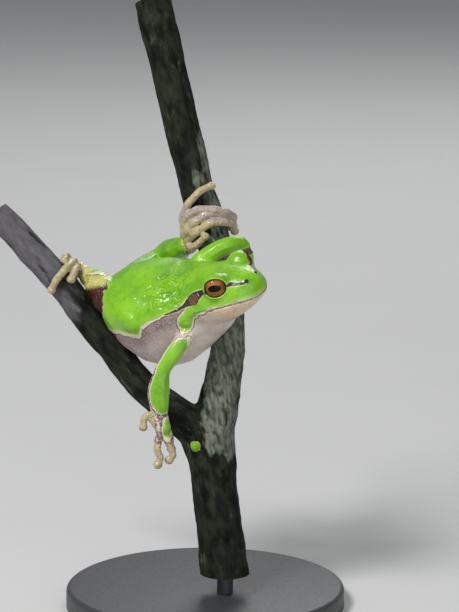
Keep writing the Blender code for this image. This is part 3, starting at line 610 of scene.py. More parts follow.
def fused(name, pieces, grain, smoothing, collection):
    """One skin round all the pieces."""
    shape = bmesh.new()
    for piece in pieces:
        shape.from_mesh(piece.data)
        bpy.data.objects.remove(piece)
    body = finished(shape, name, collection)
    grid = body.modifiers.new("Fuse", "REMESH")
    grid.mode = "VOXEL"
    grid.voxel_size = grain * MM
    if smoothing:
        soften = body.modifiers.new("Soften", "SMOOTH")
        soften.factor = 0.5
        soften.iterations = smoothing
    return baked(body)


def keep_outer(obj):
    """Keeps only the surface that the object's highest point is on."""
    shape = bmesh.new()
    shape.from_mesh(obj.data)
    surface = [max(shape.verts, key=lambda vert: vert.co.z)]
    reached = set(surface)
    for vert in surface:
        for edge in vert.link_edges:
            other = edge.other_vert(vert)
            if other not in reached:
                reached.add(other)
                surface.append(other)
    loose = [vert for vert in shape.verts if vert not in reached]
    bmesh.ops.delete(shape, geom=loose, context="VERTS")
    shape.to_mesh(obj.data)
    shape.free()


def carve(obj, cutter):
    """Takes the cutter's shape out of the object, and the cutter away."""
    change = obj.modifiers.new("Cut", "BOOLEAN")
    change.operation = "DIFFERENCE"
    change.solver = "MANIFOLD"
    change.object = cutter
    baked(obj)
    bpy.data.objects.remove(cutter)


def cut_off(obj, place, way, collection):
    """Cuts the object off flat at a place, with all that lies beyond it one way."""
    turn = way.to_track_quat("Z", "Y").to_matrix().to_4x4()
    middle = Matrix.Translation(place + way * CUT_AWAY / 2 * MM)
    carve(obj, finished(cylinder(CUT_AWAY, CUT_AWAY, middle @ turn, 24), "cut", collection))


def outline(axes, ahead, half_width, above, below, roundness, middle=0.0):
    """The ring of one section, with its own height above and depth below its widest level."""
    ring = []
    for i in range(RING_STEPS):
        turn = 2 * math.pi * i / RING_STEPS
        side, height = math.cos(turn), math.sin(turn)
        reach, power = (above, 2 / roundness[0]) if height > 0 else (below, 2 / roundness[1])
        left = half_width * math.copysign(abs(side) ** power, side)
        up = reach * math.copysign(abs(height) ** power, height)
        ring.append(axes.place(ahead, left, middle + up))
    return ring


def towards_snout(ahead, past, powers):
    """1 at the corner of the jaw, and 0 at the snout's tip or past it."""
    part = max(0.0, (ahead - JAW_CORNER) / (SNOUT_TIP + past - JAW_CORNER))
    return max(0.0, 1 - part ** powers[0]) ** powers[1]


def head_outline(ahead):
    half_width = JAW_HALF_WIDTH * towards_snout(ahead, 0, JAW_POWERS)
    above = CROWN_HEIGHT * towards_snout(ahead, CROWN_PAST, CROWN_POWERS)
    below = THROAT_DEPTH * towards_snout(ahead, THROAT_PAST, THROAT_POWERS)
    return outline(HEAD, ahead, half_width, above, below, (2, 2), MOUTH_LEVEL)


def lofted(name, rings, collection):
    """A closed skin through rings of equal count, with flat ends."""
    shape = bmesh.new()
    rows = [[shape.verts.new(place) for place in ring] for ring in rings]
    for row, following in zip(rows, rows[1:]):
        for i in range(len(row)):
            j = (i + 1) % len(row)
            shape.faces.new((row[i], row[j], following[j], following[i]))
    shape.faces.new(rows[0])
    shape.faces.new(rows[-1][::-1])
    bmesh.ops.recalc_face_normals(shape, faces=shape.faces)
    return finished(shape, name, collection)


def eye_axes(side):
    """Where an eye looks, with two axes square to it: along the lids and up."""
    look = HEAD.way(EYE_LOOK[0], side * EYE_LOOK[1], EYE_LOOK[2]).normalized()
    along = (HEAD.ahead - look * HEAD.ahead.dot(look)).normalized()
    return look, along, along.cross(look) * side


def eye_centre(side):
    return HEAD.place(EYE_PLACE[0], side * EYE_PLACE[1], EYE_PLACE[2])


def read(items, name, columns, kind=np.float32):
    """What a mesh keeps for each of its items, as rows."""
    flat = np.empty(len(items) * columns, kind)
    items.foreach_get(name, flat)
    return flat.reshape(-1, columns)


def points_of(mesh):
    """The mesh's points as rows of metres."""
    return read(mesh.vertices, "co", 3).astype(float)


def normals_of(mesh):
    return read(mesh.vertex_normals, "vector", 3).astype(float)


def move_to(mesh, points):
    mesh.vertices.foreach_set("co", points.astype(np.float32).ravel())
    mesh.update()


def store(mesh, name, values):
    """Keeps a value for each point, which a material reads by name."""
    layer = mesh.attributes.new(name, "FLOAT", "POINT")
    layer.data.foreach_set("value", np.asarray(values, np.float32))


def relaxed(values, edges, weight, rounds):
    """Values drawn towards the mean of their neighbours', by a weight for each point."""
    start, end = edges.T
    size = len(values)
    count = np.bincount(start, minlength=size) + np.bincount(end, minlength=size)
    columns = values.reshape(size, -1).copy()
    weight = np.broadcast_to(weight, size)[:, None]
    for _ in range(rounds):
        sums = [np.bincount(start, c[end], size) + np.bincount(end, c[start], size) for c in columns.T]
        columns += weight * (np.stack(sums, axis=1) / count[:, None] - columns)
    return columns.reshape(values.shape)


def ramp(value, low, high):
    """0 below low, 1 above high, and smooth between."""
    part = np.clip((value - low) / (high - low), 0, 1)
    return part * part * (3 - 2 * part)


def bell(value, width):
    """1 where the value is 0, and soon 0 to both sides."""
    return np.exp(-((value / width) ** 2))


def far(points, place):
    """How far each point is from a place, in millimetres."""
    return np.linalg.norm((points - np.array(place)) / MM, axis=1)


def to_line(points, start, end):
    """The distance of flat points from a straight line between two places, and how far along it."""
    start, end = np.array(start, float), np.array(end, float)
    along = np.clip((points - start) @ (end - start) / ((end - start) @ (end - start)), 0, 1)
    return np.linalg.norm(points - start - along[:, None] * (end - start), axis=1), along


def inside_stripe(points, rows):
    """How far inside a line of changing width each flat point is, negative outside."""
    best = np.full(len(points), -99.0)
    for first, second in zip(rows, rows[1:]):
        distance, along = to_line(points, first[:2], second[:2])
        best = np.maximum(best, first[2] + along * (second[2] - first[2]) - distance)
    return best


def bones():
    """Every middle line of the limbs, digits and palms, as its path, its number and its step."""
    lines = [(smooth_path(places, LIMB_STEP), number, LIMB_STEP) for number, places in enumerate(LIMBS)]
    digits, palms = [*RIGHT_FINGERS], [(RIGHT_ARM[-1], RIGHT_PALM)]
    for hold, sole, group, radius, wrist, _ in GRIPS:
        digits += [[grip_place(hold, row, radius) for row in rows] for rows in group]
        palms.append((wrist, grip_place(hold, sole, radius)))
    for places in digits:
        path = smooth_path([(*place, TOE_RADIUS) for place in places], LIMB_STEP)
        lines.append((path, DIGIT, LIMB_STEP))
    for start, end in palms:
        start, end = np.array(start[:3]), np.array(end[:3])
        path = [np.array([*(start + (end - start) * i / 8), PALM_RADIUS]) for i in range(9)]
        lines.append((path, PALM, 0))
    return lines


def by_bone(points):
    """Each point's limb: its number, length so far and radius, the way out of it, and how far."""
    rows, ways, numbers, lengths = [], [], [], []
    for path, number, step in bones():
        for i, place in enumerate(path):
            before, after = path[max(0, i - 1)], path[min(len(path) - 1, i + 1)]
            rows.append((*seen(*place[:3]), place[3]))
            ways.append(turned(*(after - before)[:3]).normalized())
            numbers.append(number)
            lengths.append(i * step)
    tree = KDTree(len(rows))
    for i, row in enumerate(rows):
        tree.insert(row[:3], i)
    tree.balance()
    nearest = [tree.find(point)[1] for point in points]
    rows, way = np.array(rows)[nearest], np.array(ways)[nearest]
    from_line = (points - rows[:, :3]) / MM
    beyond = np.linalg.norm(from_line, axis=1) - rows[:, 3]
    from_line -= way * np.sum(from_line * way, axis=1)[:, None]
    radial = from_line / np.maximum(np.linalg.norm(from_line, axis=1), 0.01)[:, None]
    return np.array(numbers)[nearest], np.array(lengths)[nearest], rows[:, 3], radial, beyond


def frog_pieces(helpers):
    """Every form of the frog before it is made one skin."""
    roundness = (BACK_ROUNDNESS, BELLY_ROUNDNESS)
    trunk = [outline(TRUNK, -back, *sizes, roundness) for back, *sizes in TRUNK_SECTIONS]
    pieces = [
        lofted("head_form", [head_outline(SNOUT_TIP - back) for back in HEAD_STATIONS], helpers),
        lofted("trunk_form", trunk, helpers),
    ]
    ahead, out, up = SHOULDER_PLACE
    for side in (1, -1):
        pieces.append(ball("brow", eye_centre(side), [EYE_RADIUS + LID_THICKNESS] * 3, helpers))
        pieces.append(ball("shoulder", TRUNK.place(ahead, side * out, up), SHOULDER_RADII, helpers))
    body = fused("body", pieces, BODY_GRAIN, BODY_SMOOTHING, helpers)
    body.modifiers.new("Finer", "SUBSURF").levels = 1
    baked(body)
    for side in (1, -1):
        centre, axes = eye_centre(side), eye_axes(side)
        carve(body, ball("socket", centre, [EYE_RADIUS + SOCKET_ROOM] * 3, helpers, segments=48))
        carve(body, ball("opening", centre + axes[0] * EYE_RADIUS * MM, EYE_OPENING, helpers, axes, 48))
    pieces = [body]
    for places in [*LIMBS, [RIGHT_ARM[-1], RIGHT_PALM]]:
        pieces += limb("limb", places, helpers)
    for places in RIGHT_FINGERS:
        pieces += digit(places, FINGER_RADIUS, helpers)
    for hold, sole, digits, radius, wrist, web in GRIPS:
        middle = (*grip_place(hold, sole, radius), SOLE_RADIUS)
        pieces += limb("sole", [wrist, middle], helpers)
        if web:
            pieces += limb("web", [middle, (*grip_place(hold, web[:3], radius), web[3])], helpers)
        for rows in digits:
            pieces += digit([grip_place(hold, row, radius) for row in rows], radius, helpers)
    return pieces


def green_on_limb(numbers, lengths, radius, radial):
    """How far inside the green of a limb each point is, in millimetres round it."""
    rim = np.full(len(numbers), OUTSIDE)
    for number, (way, half_angle, first, last) in LIMB_GREEN.items():
        mine = numbers == number
        middle = np.array(turned(*way).normalized())
        angle = np.degrees(np.arccos(np.clip(radial[mine] @ middle, -1, 1)))
        ends = np.minimum(lengths[mine] - first, last - lengths[mine])
        share = np.sqrt(np.clip(ends / LIMB_TAPER, 0, 1))
        inside = np.radians(half_angle * share - angle) * radius[mine]
        rim[mine] = np.minimum(inside, ends + 0.2)
    return rim


def spot(place, size):
    """How far inside an upright oval, as seen from the front, each point that faces the viewer is."""
    out = np.hypot((place[:, 0] - size[0]) / size[2], (place[:, 1] - size[1]) / size[3])
    return np.where(place[:, 2] > HAND_NEAR, (1 - out) * size[2], OUTSIDE)


def frog_skin(helpers, parts):
    """The whole frog but its eyes, in one skin with its markings."""
    skin = fused("skin", frog_pieces(helpers), SKIN_GRAIN, 0, helpers)
    keep_outer(skin)
    mesh = skin.data
    points, edges = points_of(mesh), read(mesh.edges, "vertices", 2, np.int32)
    number, length, radius, radial, beyond = by_bone(points)
    place = np.array([seen_from(point) for point in points])
    across, up, near = place.T
    on_foot = (number >= DIGIT) & ((across < HEEL_GREEN[2] + 2) | (up > FOOT_ABOVE))
    on_limb = np.where(on_foot, 1 - ramp(beyond, 1.2, 2.0), 1 - ramp(beyond, 0.25, 0.7))

    ahead, aside, height = HEAD.local(points).T
    back, left, level = TRUNK.local(points).T
    aside, back = np.abs(aside), -back
    roots = np.zeros(len(points))
    for root, reach in ROOTS:
        roots = np.maximum(roots, 1 - ramp(far(points, seen(*root)), reach * 0.5, reach))
    points = relaxed(points, edges, roots * 0.8, ROOT_ROUNDS)
    points = relaxed(points, edges, 0.5, SKIN_ROUNDS)
    move_to(mesh, points)

    on_head = ramp(ahead, -7.6, -6.0)
    face, flank = np.stack([ahead, height], axis=1), np.stack([back, level], axis=1)
    from_above = np.stack([back, left], axis=1)
    above_mouth = height - np.interp(ahead, *np.array(MOUTH_CURVE).T)
    facing = np.where(on_limb < 0.5, 1.0, 0.0)
    at_mouth = ramp(ahead, MOUTH_CURVE[0][0] - 0.5, MOUTH_CURVE[0][0] + 0.3) * facing
    lift = sum(size * bell(above_mouth - high, width) for size, high, width in MOUTH_RELIEF) * at_mouth

    hole = np.linalg.norm(np.stack([ahead, aside, height], axis=1) - np.array(NOSTRIL[:3]), axis=1)
    lift += 0.10 * bell(hole - 0.5, 0.16) - 0.32 * (1 - ramp(hole, 0.1, NOSTRIL[3]))
    drum = np.hypot((ahead - EAR[0]) / EAR[2], (height - EAR[1]) / EAR[3])
    drum = np.where(aside > 4, drum, 9)
    lift += 0.14 * bell(drum - 1, 0.14) - 0.12 * (1 - ramp(drum, 0.5, 1.0))
    lift += 0.16 * bell(to_line(face, *EAR_FOLD)[0], 0.42) * facing * ramp(aside, 3.0, 4.5)

    lid = np.zeros(len(points))
    for side in (1, -1):
        from_eye = (points - np.array(eye_centre(side))) / MM
        out, along, above = (from_eye @ np.array(axis) for axis in eye_axes(side))
        ring = np.hypot(along / EYE_SEEN[0], above / EYE_SEEN[1])
        close = (np.linalg.norm(from_eye, axis=1) < EYE_RADIUS + 1.3) & (out > 0)
        band = bell(ring - 1.05, 0.07) * close
        lid = np.maximum(lid, band * (0.25 + 0.75 * ramp(above, -0.5, 1.0)))
        lift += 0.08 * band - 0.06 * bell(ring - 1.22, 0.07) * close
    on_back = (level > 0) * facing
    for start, end, width, size in FOLDS:
        distance, along = to_line(from_above, start, end)
        lift += size * bell(distance, width) * on_back * np.sin(np.pi * along) ** 0.5
    lobe = np.where(aside > 3, inside_stripe(flank, LOBE), OUTSIDE)
    lift += LOBE_RISE * ramp(lobe, -0.2, 0.8) * facing * ramp(back, 0.0, 2.5)
    move_to(mesh, points + normals_of(mesh) * (lift * MM)[:, None])

    edge_at = np.interp(back, *np.array(GREEN_EDGE).T)
    rim_body = np.maximum((level - edge_at) * (1 - on_head) + (above_mouth - LIP) * on_head, lobe)
    heel = np.minimum(np.maximum(up - HEEL_GREEN[1], across - HEEL_GREEN[0]), across - HEEL_GREEN[2])
    rim_limb = np.where(number == SHANK, heel, green_on_limb(number, length, radius, radial))
    shared = (number == THIGH) | ((number == SHANK) & (across > HEEL_ACROSS))
    on_own = np.where(shared, 0, on_limb)
    rim = rim_body * (1 - on_own) + rim_limb * on_own
    rim = np.maximum(rim, np.where((number == 0) & (up > LOBE_LOWEST), lobe, OUTSIDE))
    rim = np.where((number >= DIGIT) & (on_limb > 0.3), OUTSIDE, rim)
    behind = (number == THIGH) & (up < HEEL_GREEN[1]) & (up > BACK_LOWEST) & (across < THIGH_GREEN + 1.5)
    rim = np.where(behind, np.minimum(rim, across - THIGH_GREEN), rim)
    hand_green = spot(place, HAND_GREEN)

    edge = np.interp(back, *EDGE_WIDTH) * (1 - on_head) + 0.35 * on_head
    no_edge = behind | ((number == SHANK) & (across > HEEL_GREEN[0] - 0.9))
    on_side = (aside > 0.9) & (on_own < 0.5) & (back < 12)
    crease = np.linalg.norm(from_above - np.array(CREASED[:2]), axis=1)
    blush = ramp(up, BLUSH[1], BLUSH[1] + 1) * ramp(up, BLUSH[2], BLUSH[2] - 1) * 0.6
    blush = np.where((number >= DIGIT) & (across > BLUSH[0]), blush, 0)
    wrist = ramp(up, *HAND_BELOW) * ramp(across, *THUMB_LEFT) * (near > HAND_NEAR) * (number >= DIGIT)
    wrist = np.where((number == 0) & (length > ELBOW), ramp(length, ELBOW, ELBOW + 2), wrist)
    # Painted shade: the folded leg's red-brown underside, darkened where it lies in shadow
    under = ramp(across * UNDER_LEG_SHADE[0] + up * UNDER_LEG_SHADE[1] + UNDER_LEG_SHADE[2], 0.6, -0.4)
    under *= (across < UNDER_LEG_SHADE[3]) & (near < UNDER_LEG_SHADE[4]) & np.isin(number, (THIGH, SHANK))
    for name, rounds, values in (
        ("rim", 3, np.maximum(rim, hand_green)),
        ("edge", 0, np.where(no_edge, 0.0, np.where(on_own > 0.5, 0.35, edge))),
        ("stripe", 0, np.where(on_side, inside_stripe(face, STRIPE), OUTSIDE)),
        ("ear", 0, 1 - drum),
        ("nostril", 0, NOSTRIL[3] - hole),
        ("lid", 0, lid),
        ("jaw", 0, (1 - ramp(np.abs(above_mouth + 1.8), 0.8, 3.2)) * ramp(ahead, -6, 2) * facing),
        ("creased", 0, (1 - ramp(crease, CREASED[2] * 0.4, CREASED[2])) * on_back),
        ("cream", 2, spot(place, ARM_CREAM)),
        ("pale", 4, ramp(edge_at - level, 1.5, 7.0) * (1 - on_head) + on_head * 0.8),
        ("digit", 3, np.where((number >= DIGIT) & (hand_green < -0.35), on_limb, 0.0)),
        ("palm", 5, np.where(number == PALM, on_limb, blush)),
        ("wrist", 4, wrist * on_limb),
        ("yellow", 4, np.where(np.isin(number, HIND_LIMBS), on_limb, 0.0)),
        ("shade", 4, under),
    ):
        store(mesh, name, relaxed(values, edges, 0.5, rounds))
    helpers.objects.unlink(skin)
    parts.objects.link(skin)
    return dressed(skin, skin_material())


class Look:
    """A material built from nodes, one call for each."""

    def __init__(self, name, drawn_by=None):
        self.material = bpy.data.materials.new(name)
        self.material.use_nodes = True
        self.tree = self.material.node_tree
        self.shader = self.tree.nodes["Principled BSDF"]
        self.place = self.add("TexCoord").outputs["Object"]
        if drawn_by:
            self.place = self.kept(drawn_by, "Vector")

    def join(self, socket, value):
        if isinstance(value, bpy.types.NodeSocket):
            self.tree.links.new(value, socket)
        else:
            socket.default_value = value

    def add(self, kind, **inputs):
        """A new node, with its inputs by their names."""
        node = self.tree.nodes.new("ShaderNode" + kind)
        for name, value in inputs.items():
            self.join(node.inputs[name.replace("_", " ")], value)
        return node

    def kept(self, name, output="Fac"):
        node = self.add("Attribute")
        node.attribute_name = name
        return node.outputs[output]

    def noise(self, size, detail):
        """Noise between 0 and 1 whose features are about a size in millimetres."""
        return self.add("TexNoise", Scale=1 / (size * MM), Detail=detail, Vector=self.place).outputs["Fac"]

    def grains(self, size):
        """The distance to the nearest of scattered points, about a size in millimetres apart."""
        return self.add("TexVoronoi", Scale=1 / (size * MM), Vector=self.place).outputs["Distance"]

    def sum(self, operation, *values):
        node = self.add("Math")
        node.operation = operation
        for socket, value in zip(node.inputs, values):
            self.join(socket, value)
        return node.outputs[0]

    def times(self, first, second):
        return self.sum("MULTIPLY", first, second)

    def wobbled(self, value, noise, reach):
        """A value moved by noise, up to half of reach each way."""
        return self.sum("ADD", value, self.sum("MULTIPLY_ADD", noise, reach, -reach / 2))

    def band(self, value, low, high, start=0.0, end=1.0):
        """From start to end as the value goes from low to high, smooth between."""
        node = self.add("MapRange", Value=value, From_Min=low, From_Max=high, To_Min=start, To_Max=end)
        node.interpolation_type = "SMOOTHSTEP"
        return node.outputs["Result"]

    def mix(self, factor, first, second):
        node = self.add("Mix")
        node.data_type = "RGBA"
        for i, value in ((0, factor), (6, first), (7, second)):
            self.join(node.inputs[i], (*value, 1) if isinstance(value, tuple) else value)
        return node.outputs[2]

    def tones(self, size, detail, first, second):
        """Between two colours, by noise."""
        return self.mix(self.noise(size, detail), first, second)

    def patches(self, size, detail, low, high, first, second):
        """Two colours in patches, by noise."""
        return self.mix(self.band(self.noise(size, detail), low, high), first, second)

    def over(self, colour, *layers):
        """A colour under layers, each with its share and its own colour."""
        for share, tint in layers:
            colour = self.mix(share, colour, tint)
        return colour

    def oval(self, values, sizes, powers):
        """0 in the middle of an oval and 1 on its edge."""
        terms = []
        for value, size, power in zip(values, sizes, powers):
            terms.append(self.sum("POWER", self.sum("ABSOLUTE", self.sum("DIVIDE", value, size)), power))
        return self.sum("POWER", self.sum("ADD", *terms), 0.5)

    def relief(self, *layers):
        """Bumps one over another, each by its height, its size in millimetres and its strength."""
        under = None
        for height, size, strength in layers:
            node = self.add("Bump", Height=height, Distance=size * MM, Strength=strength)
            if under:
                self.join(node.inputs["Normal"], under)
            under = node.outputs["Normal"]
        return under

    def ends(self, colour, roughness, normal=None, **settings):
        self.join(self.shader.inputs["Base Color"], colour)
        self.join(self.shader.inputs["Roughness"], roughness)
        if normal is not None:
            self.join(self.shader.inputs["Normal"], normal)
        for name, value in settings.items():
            self.shader.inputs[name.replace("_", " ").title().replace("Ior", "IOR")].default_value = value
        return self.material


def skin_material():
    look = Look("frog_skin")
    band, kept, noise, tones, times = look.band, look.kept, look.noise, look.tones, look.times
    rim = look.wobbled(kept("rim"), noise(1.6, 3), 0.8)
    rim = look.wobbled(rim, noise(0.5, 3), 0.35)
    past_edge = look.sum("ADD", rim, look.wobbled(kept("edge"), noise(1.2, 2), 0.25))
    stripe = look.wobbled(kept("stripe"), noise(0.5, 3), 0.2)
    digit, creased, grains = kept("digit"), kept("creased"), look.grains(0.5)
    not_digit = look.sum("SUBTRACT", 1.0, digit)
    granule = band(grains, 0.5, 0.15)

    flank = tones(2.4, 4, (0.15, 0.08, 0.085), (0.45, 0.33, 0.32))
    flank = look.mix(times(granule, 0.6), flank, (0.70, 0.60, 0.58))
    belly = tones(3.0, 3, (0.58, 0.46, 0.42), (0.84, 0.73, 0.65))
    belly = look.mix(times(granule, 0.7), belly, (0.90, 0.83, 0.76))
    leg = tones(1.4, 3, (0.36, 0.35, 0.04), (0.70, 0.68, 0.24))
    tan = tones(1.3, 3, (0.37, 0.29, 0.16), (0.58, 0.48, 0.29))
    lilac = tones(0.9, 3, (0.30, 0.21, 0.20), (0.56, 0.46, 0.43))
    on_palm = band(look.wobbled(kept("palm"), noise(1.2, 3), 0.9), 0.25, 0.75)
    between = tones(0.7, 3, (0.13, 0.055, 0.05), (0.28, 0.15, 0.14))
    beads = look.mix(band(look.grains(0.42), 0.5, 0.3), between, (0.66, 0.55, 0.50))
    below = look.over(
        look.mix(look.wobbled(kept("pale"), noise(2.0, 4), 0.5), flank, belly),
        (times(kept("jaw"), 0.7), (0.80, 0.60, 0.34)),
        (kept("yellow"), leg),
        # painted shade on the folded leg's red-brown underside
        (kept("shade"), (0.055, 0.010, 0.005)),
        (digit, look.mix(on_palm, tan, lilac)),
        (band(kept("wrist"), 0.3, 0.7), beads),
    )
    green = look.over(
        look.patches(4.5, 3, 0.3, 0.7, (0.13, 0.38, 0.002), (0.24, 0.54, 0.006)),
        (band(noise(0.6, 3), 0.5, 0.75, 0.0, 0.4), (0.30, 0.60, 0.04)),
        (band(noise(1.1, 4), 0.56, 0.72, 0.0, 0.35), (0.07, 0.24, 0.006)),
        (band(rim, 1.1, 0.1, 0.0, 0.4), (0.36, 0.58, 0.10)),
    )
    cream = tones(0.6, 3, (0.60, 0.52, 0.28), (0.82, 0.78, 0.62))
    dark = tones(0.5, 3, (0.010, 0.004, 0.003), (0.05, 0.022, 0.012))
    ear = look.patches(0.45, 4, 0.35, 0.65, (0.06, 0.025, 0.010), (0.17, 0.085, 0.03))
    colour = look.over(
        below,
        (times(band(past_edge, -0.34, -0.12, 0.0, 0.8), not_digit), (0.085, 0.04, 0.03)),
        (times(band(past_edge, -0.05, 0.06), not_digit), cream),
        (times(band(rim, -0.05, 0.1), not_digit), green),
        (band(kept("cream"), 0.0, 0.15), cream),
        (band(stripe, -0.24, -0.1, 0.0, 0.6), (0.62, 0.66, 0.30)),
        (band(stripe, -0.05, 0.06), dark),
        (band(kept("ear"), 0.02, 0.2), ear),
        (band(kept("nostril"), -0.16, 0.02), (0.012, 0.006, 0.005)),
        (times(kept("lid"), 0.55), (0.60, 0.62, 0.24)),
    )
    crease = band(look.sum("ABSOLUTE", look.sum("SUBTRACT", noise(2.6, 2), 0.5)), 0.0, 0.07)
    relief = look.relief(
        (noise(0.22, 3), 0.05, 0.5),
        (noise(0.6, 4), 0.12, 0.7),
        (times(crease, creased), 0.4, 0.75),
        (noise(1.3, 3), 0.22, 0.5),
        (times(band(grains, 0.5, 0.0), band(rim, 0.1, -0.6)), 0.16, 1.0),
    )
    look.join(look.shader.inputs["Coat Normal"], relief)
    rough = band(noise(0.8, 2), 0.2, 0.8, 0.34, 0.5)
    rough = look.sum("SUBTRACT", rough, times(creased, 0.2))
    wet = dict(specular_ior_level=0.4, coat_weight=0.5, coat_roughness=0.05)
    return look.ends(colour, rough, relief, subsurface_weight=0.1, subsurface_scale=0.0006, **wet)


def eye_pieces(side, name, parts):
    """An eyeball with its iris and level pupil, and the clear cornea over it."""
    centre, inner = eye_centre(side), EYE_RADIUS - CORNEA
    ahead, along, above = eye_axes(side)
    globe = ball(name, centre, [inner] * 3, parts, (along, above, ahead), 96)
    from_eye = (points_of(globe.data) - np.array(centre)) / MM / inner
    for key, axis in (("along", along), ("above", above), ("ahead", ahead)):
        store(globe.data, key, from_eye @ np.array(axis))
    cornea = ball(name + "_cornea", centre, [EYE_RADIUS] * 3, parts, segments=96)
    return [dressed(globe, iris_material(name)), dressed(cornea, cornea_material())]


def iris_material(name):
    look = Look(name + "_iris")
    band, kept, noise = look.band, look.kept, look.noise
    along, above = kept("along"), kept("above")
    pupil = look.oval((along, above), PUPIL, (2.3, 1.7))
    out = look.oval((along, above), (1, 1), (2, 2))
    colour = look.over(
        look.tones(0.28, 4, (0.16, 0.045, 0.008), (0.46, 0.17, 0.03)),
        (band(noise(0.16, 4), 0.5, 0.64, 0.0, 0.8), (0.06, 0.02, 0.008)),
        (band(look.sum("ABSOLUTE", above), 0.12, 0.5, 0.0, 0.3), (0.62, 0.27, 0.06)),
        (band(pupil, 1.2, 1.04, 0.0, 0.5), (0.80, 0.46, 0.12)),
        (band(above, 0.3, 0.75, 0.0, 0.6), (0.14, 0.07, 0.035)),
        (band(out, 0.80, 0.93), (0.03, 0.012, 0.006)),
        (band(pupil, 1.06, 0.98), (0.002, 0.002, 0.002)),
        (band(kept("ahead"), 0.12, 0.02), (0.03, 0.02, 0.015)),
    )
    return look.ends(colour, 0.35, look.relief((noise(0.12, 3), 0.03, 0.5)), specular_ior_level=0.1)


def cornea_material():
    """Clear but for its gloss."""
    look = Look("cornea")
    both = look.add("MixShader")
    gloss = look.add("BsdfGlossy", Roughness=0.03)
    share = look.add("Fresnel", IOR=CORNEA_IOR)
    for socket, node in zip(both.inputs, (share, look.add("BsdfTransparent"), gloss)):
        look.join(socket, node.outputs[0])
    look.join(look.tree.nodes["Material Output"].inputs["Surface"], both.outputs[0])
    return look.material


def perch(helpers, parts):
    """The forked twig with its bark, bud and cut ends."""
    branches = (RIGHT_BRANCH, LEFT_BRANCH)
    pieces = [tube("wood", smooth_path(places), helpers, 12) for places in (STEM, *branches)]
    pieces.append(ball("bud", seen(*BUD_PLACE), BUD_RADII, helpers))
    twig = fused("perch", pieces, BARK_GRAIN, BARK_SMOOTHING, helpers)
    points = points_of(twig.data)
    bumps = np.zeros(len(points))
    for scale, size in BARK_WAVES:
        for k, turn in enumerate(WAVE_WAYS):
            phase = points / MM @ np.array(turn) * scale + 1.7 * k
            swing = phase.mean() + points[:, 2] / MM * scale * 0.7
            bumps += size / 2 * np.sin(phase + 1.3 * np.sin(swing))
    for place, size in SCARS:
        distance = far(points, seen(*place))
        bumps += 0.35 * bell(distance - size, 0.4) - 0.2 * (1 - ramp(distance, 0, size))
    move_to(twig.data, points + normals_of(twig.data) * (bumps * MM)[:, None])
    cut_off(twig, seen(*STEM_CUT), Vector((0, 0, -1)), helpers)
    tips = []
    for branch in branches:
        end = seen(*branch[-2][:3])
        way = (turned(*branch[-1][:3]) - turned(*branch[-2][:3])).normalized()
        cut_off(twig, end, way, helpers)
        tips.append((end, way, branch[-2][3] * 2))
    mesh = twig.data
    points = points_of(mesh)
    wood = np.full(len(points), OUTSIDE)
    for end, way, reach in tips:
        wood = np.where(far(points, end) < reach, (points - np.array(end)) / MM @ np.array(way), wood)

    from_fork = (points - np.array(seen(*LEFT_BRANCH[0][:3]))) / MM
    ways = []
    for start, end in ((RIGHT_BRANCH[4], RIGHT_BRANCH[-2]), (LEFT_BRANCH[0], LEFT_BRANCH[-1])):
        way = np.array(turned(*end[:3]) - turned(*start[:3]))
        ways.append(way / np.linalg.norm(way))
    upright, leaning = ways
    on_left = ramp(from_fork @ leaning - np.abs(from_fork @ upright) * 0.9, -1.0, 3.0)[:, None]
    grain = upright + on_left * (leaning - upright)
    grain /= np.linalg.norm(grain, axis=1)[:, None]
    drawn = from_fork - BARK_DRAW * np.sum(from_fork * grain, axis=1)[:, None] * grain
    layer = mesh.attributes.new("grain", "FLOAT_VECTOR", "POINT")
    layer.data.foreach_set("vector", (drawn * MM).astype(np.float32).ravel())
    across, _, height = ((points - np.array(seen(0, 0, 0))) / MM).T
    store(mesh, "wood", wood)
    store(mesh, "bud", BUD_RADII[2] + 0.15 - far(points, seen(*BUD_PLACE)))
    store(mesh, "fork", 1 - ramp(far(points, seen(*FORK)), 2.0, 10.0))
    store(mesh, "lilac", ramp(-across, 24, 40))
    store(mesh, "bare", ramp(across, -8.5, -4) * ramp(height, -34, -25))
    helpers.objects.unlink(twig)
    parts.objects.link(twig)
    return dressed(twig, bark_material(), 50)


def bark_material():
    look = Look("twig_bark", "grain")
    band, kept, noise = look.band, look.kept, look.noise
    bare = look.wobbled(noise(3.0, 5), kept("bare"), 0.34)
    grey = look.patches(0.7, 5, 0.32, 0.68, (0.07, 0.085, 0.06), (0.24, 0.27, 0.22))
    lilac = look.wobbled(kept("lilac"), noise(3.0, 4), 0.9)
    tint = look.tones(0.9, 5, (0.055, 0.052, 0.062), (0.22, 0.205, 0.225))
    flecks = look.times(band(noise(0.6, 4), 0.60, 0.70, 0.0, 0.6), kept("fork"))
    bud = look.wobbled(kept("bud"), noise(0.5, 3), 0.8)
    leaf = look.tones(0.5, 3, (0.09, 0.28, 0.01), (0.26, 0.52, 0.03))
    wood = look.tones(0.6, 3, (0.36, 0.26, 0.14), (0.52, 0.41, 0.25))
    colour = look.over(
        look.patches(1.6, 5, 0.35, 0.65, (0.002, 0.003, 0.001), (0.018, 0.023, 0.013)),
        (band(bare, 0.5, 0.62, 0.0, 0.8), grey),
        (band(lilac, 0.35, 0.75, 0.0, 0.8), tint),
        (band(noise(1.5, 5), 0.60, 0.74, 0.0, 0.25), (0.20, 0.23, 0.17)),
        (band(noise(2.3, 5), 0.56, 0.66, 0.0, 0.75), (0.006, 0.008, 0.006)),
        (flecks, (0.13, 0.075, 0.045)),
        (band(bud, 0.05, 0.15), (0.42, 0.36, 0.16)),
        (band(bud, 0.15, 0.25), leaf),
        (band(kept("wood"), -0.06, -0.01), wood),
    )
    relief = look.relief((noise(0.9, 5), 0.35, 0.8), (noise(0.2, 4), 0.12, 0.7))
    rough = band(noise(1.2, 3), 0.3, 0.7, 0.6, 0.9)
    return look.ends(colour, rough, relief, specular_ior_level=0.15)


